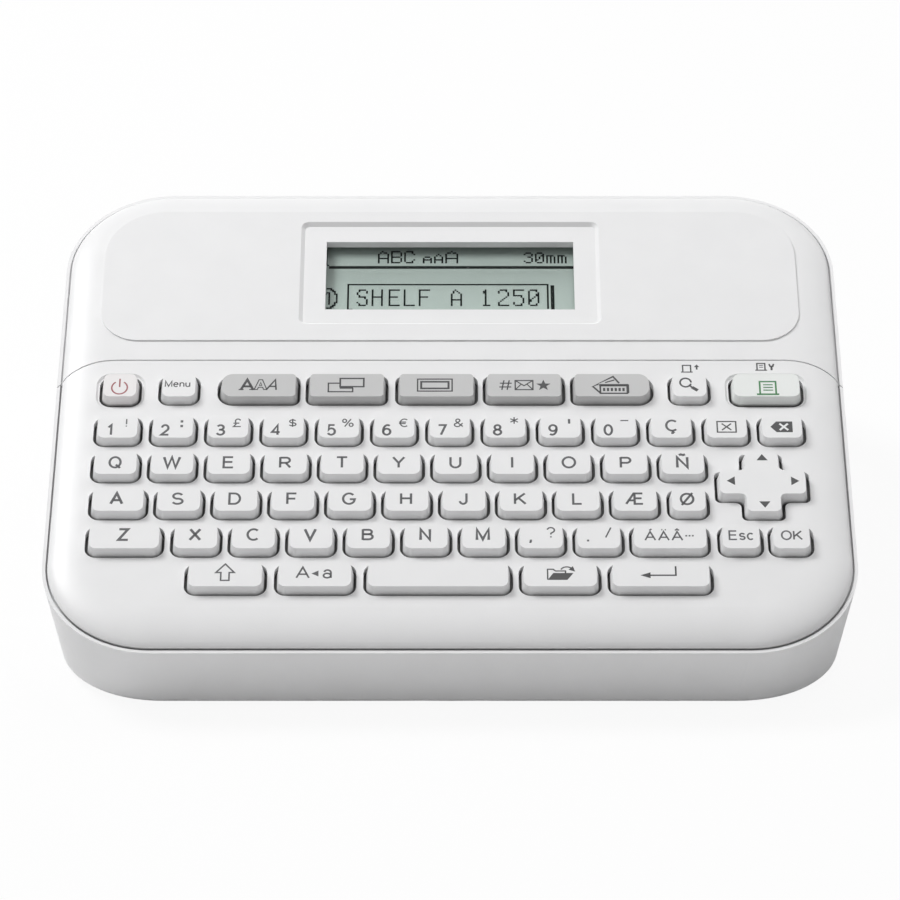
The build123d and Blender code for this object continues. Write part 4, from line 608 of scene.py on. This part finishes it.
home_middle = row_middle(HOME_ROW)
home_print = Print("home_letter_legends", "home_letter_keys_body", "key_white", INK)
home_print.add(letter_of("A", BOLD_LINE), HOME_FIRST, home_middle + 0.15, KEY_TOP)
for place, letter in enumerate("SDFGHJKLÆ"):
    home_print.add(letter_of(letter), HOME_SECOND + LETTER_PITCH * place, home_middle + 0.1, KEY_TOP)
home_print.add(letter_of("Ø"), HOME_LAST, home_middle, KEY_TOP)
home_print.done()

lower_middle = row_middle(LOWER_ROW)
lower_print = Print("lower_letter_legends", "lower_letter_keys_body", "key_white", INK)
lower_print.add(letter_of("Z"), LOWER_FIRST, lower_middle + 0.5, KEY_TOP)
for place, letter in enumerate("XCVBNM"):
    lower_print.add(letter_of(letter), LOWER_SECOND + LETTER_PITCH * place, lower_middle + 0.5, KEY_TOP)
for place, low, high in ((6, ",", "?"), (7, ".", "/")):
    u = LOWER_SIGNS + LETTER_PITCH * place
    lower_print.add(drawn(low, LETTER, 0.5), u - 2.5, lower_middle + 0.1, KEY_TOP)
    lower_print.add(drawn(high, SMALL * 1.25, 0.36), u + 2.2, lower_middle + 1.1, KEY_TOP)
lower_print.done()


# Keys that press on their own

def single(name, shapes, ink=INK, slot="key_white"):
    """Legend of a key that presses on its own."""
    front, u = KEY_PLACES[name]
    made = Print(name + "_legend", name + "_body", slot, ink)
    for shape in shapes:
        made.add(shape, u, row_middle(front), KEY_TOP)
    made.done()


def moved(shape, u, v):
    """A shape moved within its own legend."""
    shape.transform(Matrix.Translation((u, v, 0)))
    return shape


single(
    "power_key",
    [stroke(bow(0, -0.8, 1.85, 2.0, 122, 418, 32), 0.36), stroke([(0, 2.0), (0, -0.6)], 0.36)],
    INK_RED, "key_power",
)
single("menu_key", [moved(drawn("Menu", 1.75, 0.3, 0.92), 0, 0.4)])
HOLLOW_LETTER = [
    (-1.5, -1.5), (-0.4, 1.6), (0.4, 1.6), (1.5, -1.5), (0.75, -1.5), (0.5, -0.8), (-0.5, -0.8), (-0.75, -1.5),
]
single(
    "font_key",
    [
        moved(drawn("A", 3.2, 0.62), -2.75, 0.1),
        stroke([(-4.75, -1.4), (-3.55, -1.4)], 0.3),
        stroke([(-2.2, -1.4), (-0.95, -1.4)], 0.3),
        moved(stroke(HOLLOW_LETTER, 0.26, True), 0.45, 0.1),
        moved(stroke([(0, 0.75), (-0.3, -0.25), (0.3, -0.25)], 0.2, True), 0.45, 0.1),
        moved(drawn("A", 3.2, 0.42, 0.8, 0.3), 3.45, 0.1),
    ],
    INK_DARK, "key_grey",
)
single(
    "layout_key",
    [
        stroke([(-1.7, 0.6), (-4.4, 0.6), (-4.4, -2.1), (1.4, -2.1), (1.4, -0.9)], 0.36),
        stroke(rectangle(1.2, 0.8, 5.6, 2.6), 0.42, True),
        region(rectangle(-0.1, -0.85, 3.2, 0.6)),
    ],
    INK_DARK, "key_grey",
)
single(
    "frame_key",
    [stroke(rectangle(-0.4, 0, 8.2, 3.8), 0.34, True), stroke(rectangle(-0.4, 0, 6.5, 2.1), 0.5, True)],
    INK_DARK, "key_grey",
)
STAR = [
    (radius * math.cos(math.radians(90 + 36 * place)), radius * math.sin(math.radians(90 + 36 * place)))
    for place, radius in enumerate([1.8, 0.74] * 5)
]
single(
    "symbol_key",
    [
        moved(drawn("#", 3.0, 0.32, 1.1), -4.4, 0.0),
        stroke(rectangle(0, 0, 4.2, 2.9), 0.32, True),
        stroke([(-2.1, 1.45), (0, -0.2), (2.1, 1.45)], 0.3),
        stroke([(-2.1, -1.45), (-0.7, 0.25)], 0.28),
        stroke([(2.1, -1.45), (0.7, 0.25)], 0.28),
        moved(region(STAR), 4.6, -0.1),
    ],
    INK_DARK, "key_grey",
)
single(
    "template_key",
    [
        stroke([(-2.9, 0.3), (-4.3, -0.4), (0.6, 2.7), (2.0, 0.6)], 0.44),
        stroke([(-4.3, -0.4), (-2.5, -2.5)], 0.44),
        stroke([(-1.3, 0.8), (0.9, 1.6)], 0.34),
        stroke(rectangle(0.7, -1.4, 6.4, 2.4), 0.42, True),
        region(rectangle(0.7, 0.05, 6.9, 0.55)),
        *(region(rectangle(-1.6 + 0.92 * bar, -1.4, 0.55, 1.0)) for bar in range(6)),
        stroke([(4.2, -2.5), (4.2, 0.2)], 0.3),
    ],
    INK_DARK, "key_grey",
)
single(
    "preview_key",
    [
        stroke(bow(-0.9, 0.8, 1.3, 1.35, 0, 345, 28), 0.44),
        stroke([(0.1, -0.2), (0.7, -0.8)], 0.45),
        stroke([(0.6, -0.7), (1.9, -1.7)], 0.85),
    ],
    INK_DARK,
)
single(
    "print_key",
    [
        stroke([(-2.7, -2.9), (2.6, -2.9)], 0.5),
        stroke([(-1.9, -2.9), (-1.9, 1.1), (1.9, 1.1), (1.9, -2.9)], 0.42),
        *(stroke([(-1.1, level), (1.2, level)], 0.32) for level in (0.1, -0.75, -1.6)),
    ],
    INK_GREEN, "key_print",
)
single(
    "clear_key",
    [
        stroke(rectangle(0, -0.2, 4.4, 3.3), 0.34, True),
        stroke([(-1.1, -1.2), (1.1, 0.8)], 0.34),
        stroke([(-1.1, 0.8), (1.1, -1.2)], 0.34),
    ],
    INK_DARK,
)
BACK_SHAPE = [(-2.7, -0.2), (-1.3, -1.85), (2.5, -1.85), (2.5, 1.45), (-1.3, 1.45)]
CROSS_ARM = 1.42
CROSS_HALF = 0.26
CROSS_SHAPE = []
for quarter in range(4):
    turn = Matrix.Rotation(math.radians(90 * quarter + 45), 2)
    for corner in ((CROSS_ARM, -CROSS_HALF), (CROSS_ARM, CROSS_HALF), (CROSS_HALF, CROSS_HALF)):
        placed = turn @ Vector(corner)
        CROSS_SHAPE.append((placed.x + 0.45, placed.y - 0.2))
single("backspace_key", [region(BACK_SHAPE, CROSS_SHAPE)], INK_DARK)
single(
    "accent_key",
    [
        moved(drawn("ÁÄÂ", 2.55, 0.38), -1.5, 0.1),
        *(region(rectangle(3.7 + 0.75 * dot, 0.15, 0.42, 0.42)) for dot in range(3)),
    ],
)
single("escape_key", [moved(drawn("Esc", 2.5, 0.4, 0.88), 0, 0.3)])
single("ok_key", [moved(drawn("OK", 2.5, 0.4, 0.86), 0, 0.3)])
SHIFT_SHAPE = [(0, 2.6), (-2.1, 0.1), (-0.95, 0.1), (-0.95, -2.2), (0.95, -2.2), (0.95, 0.1), (2.1, 0.1)]
single("shift_key", [moved(stroke(SHIFT_SHAPE, 0.38, True), 0, 0.35)])
single(
    "caps_key",
    [
        moved(drawn("A", 3.1, 0.42), -2.8, 0.45),
        region([(-0.8, 0.15), (0.8, 1.0), (0.8, -0.7)]),
        moved(drawn("a", 3.1, 0.44), 2.8, 0.45),
    ],
)
single(
    "file_key",
    [
        region([(-2.9, -1.7), (1.6, -1.7), (3.0, 0.3), (-1.6, 0.3)]),
        stroke([(-2.9, -1.6), (-2.9, 1.4), (-1.6, 1.4), (-1.1, 0.9), (1.2, 0.9), (1.2, 0.3)], 0.32),
        stroke(bow(1.5, 0.9, 1.4, 1.2, 160, 45, 10), 0.32),
        region([(3.4, 0.7), (1.9, 1.3), (2.9, 2.3)]),
    ],
    INK_DARK,
)
single(
    "enter_key",
    [
        stroke([(4.0, 2.3), (4.0, -0.35), (-2.2, -0.35)], 0.4),
        region([(-4.1, -0.35), (-1.8, 0.5), (-1.8, -1.2)]),
    ],
    INK_DARK,
)
ARROW_HEAD = [(0, 0.95), (-1.3, -0.95), (1.3, -0.95)]
arrow_print = Print("arrow_legend", "arrow_key_body", "key_white", INK_DARK)
for turn, across, up in ((0, 0.2, 7.5), (90, -7.4, 0.3), (180, 0.2, -6.9), (270, 7.6, 0.25)):
    arrow_print.add(region(ARROW_HEAD), ARROWS_U + across, ARROWS_V + up, KEY_TOP, turn)
arrow_print.done()

# Small marks printed on the deck above the preview and print keys: a sheet with an arrow, and one with a tool
PREVIEW_MARK = (56.6, 83.7)
ARROW_MARK = (59.0, 83.7)
PRINT_MARK = (74.4, 84.3)
TOOL_MARK = (76.9, 84.3)
SHEET = [(-0.95, -1.0), (-0.95, 1.05), (0.95, 1.05), (0.95, -1.0)]
UP_ARROW = [(0, 1.3), (-0.65, 0.5), (-0.2, 0.5), (-0.2, -0.3), (0.2, -0.3), (0.2, 0.5), (0.65, 0.5)]
deck_print = Print("deck_marks", "base", "deck_white", INK_DARK)
for spot in (PREVIEW_MARK, PRINT_MARK):
    deck_print.add(stroke(SHEET, 0.34), *spot, DECK_TOP)
    deck_print.add(stroke([(-1.4, -1.1), (1.4, -1.1)], 0.32), *spot, DECK_TOP)
deck_print.add(region(UP_ARROW), *ARROW_MARK, DECK_TOP)
for level in (0.45, -0.15):
    deck_print.add(stroke([(-0.5, level), (0.5, level)], 0.22), *PRINT_MARK, DECK_TOP)
deck_print.add(stroke([(-0.55, 0.9), (-0.3, 0.1), (0.3, 0.1), (0.55, 0.9)], 0.4), *TOOL_MARK, DECK_TOP)
deck_print.add(stroke([(0, 0.1), (0, -1.1)], 0.5), *TOOL_MARK, DECK_TOP)
deck_print.done()


# Display picture: square dots on the panel, counted in columns and rows from its lower left

DOT = 0.46
DOT_THICKNESS = 0.03
SCREEN_LEFT = -30.4
SCREEN_BOTTOM = 105.95
SCREEN_FACE = -0.59
SCREEN_COLUMNS = 132
# The display's letters: straight strokes in shares of the letter's width and height
DOT_STROKES = {
    "A": [[(0, 0), (0, 0.7), (0.5, 1), (1, 0.7), (1, 0)], [(0, 0.4), (1, 0.4)]],
    "B": [
        [(0, 0), (0, 1), (0.8, 1), (1, 0.85), (1, 0.65), (0.8, 0.5), (0, 0.5)],
        [(0.8, 0.5), (1, 0.35), (1, 0.15), (0.8, 0), (0, 0)],
    ],
    "C": [[(1, 0.8), (0.8, 1), (0.2, 1), (0, 0.8), (0, 0.2), (0.2, 0), (0.8, 0), (1, 0.2)]],
    "E": [[(1, 1), (0, 1), (0, 0), (1, 0)], [(0, 0.5), (0.8, 0.5)]],
    "F": [[(1, 1), (0, 1), (0, 0)], [(0, 0.5), (0.8, 0.5)]],
    "S": [[
        (1, 0.85), (0.8, 1), (0.2, 1), (0, 0.8), (0, 0.7), (0.2, 0.5),
        (0.8, 0.5), (1, 0.3), (1, 0.2), (0.8, 0), (0.2, 0), (0, 0.15),
    ]],
    "0": [
        [(0.2, 0), (0, 0.2), (0, 0.8), (0.2, 1), (0.8, 1), (1, 0.8), (1, 0.2), (0.8, 0), (0.2, 0)],
        [(0, 0.2), (1, 0.8)],
    ],
    "1": [[(0.2, 0.8), (0.5, 1), (0.5, 0)], [(0.2, 0), (0.8, 0)]],
    "2": [[(0, 0.8), (0.2, 1), (0.8, 1), (1, 0.8), (1, 0.65), (0, 0.15), (0, 0), (1, 0)]],
    "3": [
        [(0, 0.85), (0.2, 1), (0.8, 1), (1, 0.8), (1, 0.65), (0.8, 0.5), (0.4, 0.5)],
        [(0.8, 0.5), (1, 0.35), (1, 0.2), (0.8, 0), (0.2, 0), (0, 0.15)],
    ],
    "5": [[(1, 1), (0, 1), (0, 0.6), (0.8, 0.6), (1, 0.4), (1, 0.2), (0.8, 0), (0.2, 0), (0, 0.15)]],
    "H": [[(0, 0), (0, 1)], [(1, 0), (1, 1)], [(0, 0.5), (1, 0.5)]],
    "L": [[(0, 1), (0, 0), (1, 0)]],
    "m": [[(0, 0), (0, 0.6), (0.4, 0.6), (0.5, 0.5), (0.5, 0)], [(0.5, 0.6), (0.8, 0.6), (1, 0.5), (1, 0)]],
}
dots = set()


def dot_line(start, end):
    """Sets the dots along a straight line."""
    steps = max(1, round(max(abs(end[0] - start[0]), abs(end[1] - start[1]))))
    for step in range(steps + 1):
        share = step / steps
        column = round(start[0] + (end[0] - start[0]) * share)
        row = round(start[1] + (end[1] - start[1]) * share)
        dots.add((column, row))


def dot_path(points):
    """Sets the dots along a chain of lines."""
    for start, end in zip(points, points[1:]):
        dot_line(start, end)


def dot_words(text, column, row, wide, high, pitch):
    """Letters of a fixed size in dots, one pitch apart."""
    for place, letter in enumerate(text):
        if letter == " ":
            continue
        start = round(column + place * pitch)
        for line in DOT_STROKES[letter]:
            dot_path([(start + round(u * wide), row + round(v * high)) for u, v in line])


# Status line over its rule
STATUS_ROW = 34
dot_path([(0, 43), (0, 33), (2, 31), (SCREEN_COLUMNS, 31)])
dot_path([(2, 30), (SCREEN_COLUMNS, 30)])
dot_words("ABC", 28, STATUS_ROW, 5, 8, 7)
for column, wide, high in ((52, 4, 4), (58, 4, 6), (64, 6, 8)):
    dot_words("A", column, STATUS_ROW, wide, high, 0)
dot_words("30", 106, STATUS_ROW, 4, 7, 6)
dot_words("mm", 118, STATUS_ROW, 4, 8, 6)
# The label's text in its frame, with the cursor after it and the line number in a ring before it
dot_path([(14, 0), (12, 0), (12, 18), (118, 18), (118, 1)])
dot_path([(120, 0), (120, 17), (121, 17), (121, 0)])
dot_words("SHELF A 1250", 17, 3, 5, 11, 8.3)
ring = [step / 12 for step in range(-18, 19)]
dot_path([(round(1 + 5 * math.cos(angle)), round(8 + 7 * math.sin(angle))) for angle in ring])
dot_path([(0, 11), (2, 12), (2, 4)])

# Each run of dots in a row is one bar
screen_mesh = bpy.data.meshes.new("display_dots")
screen_dots = bmesh.new()
for column, row in sorted(dots):
    if (column - 1, row) in dots:
        continue
    run = 1
    while (column + run, row) in dots:
        run += 1
    length = DOT * (run - 1)
    u = SCREEN_LEFT + DOT * column + length / 2
    middle = Matrix.Translation((u, SCREEN_BOTTOM + DOT * row, SCREEN_FACE))
    size = Matrix.Diagonal((length + DOT, DOT, DOT_THICKNESS, 1))
    bmesh.ops.create_cube(screen_dots, size=1.0, matrix=DECK @ middle @ size)
screen_dots.to_mesh(screen_mesh)
screen_dots.free()
segments = surface(
    "display_segments", (0.006, 0.009, 0.008), 0.6, drift=0.2, grain=6000.0, bump=0.000002, gloss=0.05,
)
screen_mesh.materials.append(segments)
screen = bpy.data.objects.new("display_dots", screen_mesh)
scene.collection.objects.link(screen)
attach(screen, "cover")


# Light, floor and camera, in metres

AMBIENT = 0.23
FLOOR_REACH = 4.0
FLOOR_GLOW = 0.92
PITCH = math.radians(27.0)
DISTANCE = 0.954
LENS = 161.7
AIM = DECK @ Vector((0, 60.5, 0))


def area_light(name, place, aim, size, power):
    """A soft rectangular lamp that looks at a point."""
    lamp = bpy.data.lights.new(name, "AREA")
    lamp.shape = "RECTANGLE"
    lamp.size, lamp.size_y = size
    lamp.energy = power
    holder = bpy.data.objects.new(name, lamp)
    holder.location = place
    holder.rotation_euler = (Vector(aim) - Vector(place)).to_track_quat("-Z", "Y").to_euler()
    scene.collection.objects.link(holder)


area_light("softbox_left", (-0.75, 0.28, 1.1), (0, 0, 0.03), (0.5, 0.5), 12.3)
area_light("softbox_overhead", (0.35, 0.45, 1.3), (0, 0, 0.03), (0.9, 0.9), 4.2)
area_light("softbox_rear_right", (0.9, 0.6, 0.7), (0, 0, 0.04), (0.6, 0.6), 2.2)
area_light("softbox_front", (-0.5, -1.35, 0.45), (0, 0, 0.03), (0.8, 0.6), 1.6)

world = bpy.data.worlds.new("studio")
world.use_nodes = True
tree = world.node_tree
tree.nodes.clear()
output = tree.nodes.new("ShaderNodeOutputWorld")
ambient = node(tree, "ShaderNodeBackground", Color=(1, 1, 1, 1), Strength=AMBIENT)
backdrop = node(tree, "ShaderNodeBackground", Color=(1, 1, 1, 1), Strength=1.0)
path = node(tree, "ShaderNodeLightPath")
mirrored = node(tree, "ShaderNodeMath", operation="MAXIMUM")
seen = node(tree, "ShaderNodeMath", operation="MAXIMUM")
mixed = node(tree, "ShaderNodeMixShader")
tree.links.new(path.outputs["Is Glossy Ray"], mirrored.inputs[0])
tree.links.new(path.outputs["Is Transmission Ray"], mirrored.inputs[1])
tree.links.new(path.outputs["Is Camera Ray"], seen.inputs[0])
tree.links.new(mirrored.outputs[0], seen.inputs[1])
tree.links.new(seen.outputs[0], mixed.inputs["Fac"])
tree.links.new(ambient.outputs[0], mixed.inputs[1])
tree.links.new(backdrop.outputs[0], mixed.inputs[2])
tree.links.new(mixed.outputs[0], output.inputs["Surface"])
scene.world = world

floor_mesh = bpy.data.meshes.new("floor")
corners = [(u, v, 0) for u, v in rectangle(0, 0, 2 * FLOOR_REACH, 2 * FLOOR_REACH)]
floor_mesh.from_pydata(corners, [], [(0, 1, 2, 3)])
floor = bpy.data.objects.new("floor", floor_mesh)
scene.collection.objects.link(floor)
material, tree, output = new_material("floor_paper")
paper = node(tree, "ShaderNodeBsdfDiffuse", Color=(0.85, 0.85, 0.85, 1))
glow = node(tree, "ShaderNodeEmission", Color=(1, 1, 1, 1), Strength=1.0)
path = node(tree, "ShaderNodeLightPath")
share = node(tree, "ShaderNodeMath", operation="MULTIPLY")
share.inputs[1].default_value = FLOOR_GLOW
mixed = node(tree, "ShaderNodeMixShader")
tree.links.new(path.outputs["Is Camera Ray"], share.inputs[0])
tree.links.new(share.outputs[0], mixed.inputs["Fac"])
tree.links.new(paper.outputs[0], mixed.inputs[1])
tree.links.new(glow.outputs[0], mixed.inputs[2])
tree.links.new(mixed.outputs[0], output.inputs["Surface"])
floor_mesh.materials.append(material)

camera_data = bpy.data.cameras.new("camera")
camera_data.sensor_width = 36.0
camera_data.lens = LENS
camera = bpy.data.objects.new("camera", camera_data)
camera.location = AIM + Vector((0, -math.cos(PITCH), math.sin(PITCH))) * DISTANCE
camera.rotation_euler = (math.pi / 2 - PITCH, 0, 0)
scene.collection.objects.link(camera)
scene.camera = camera
scene.view_settings.view_transform = "Standard"
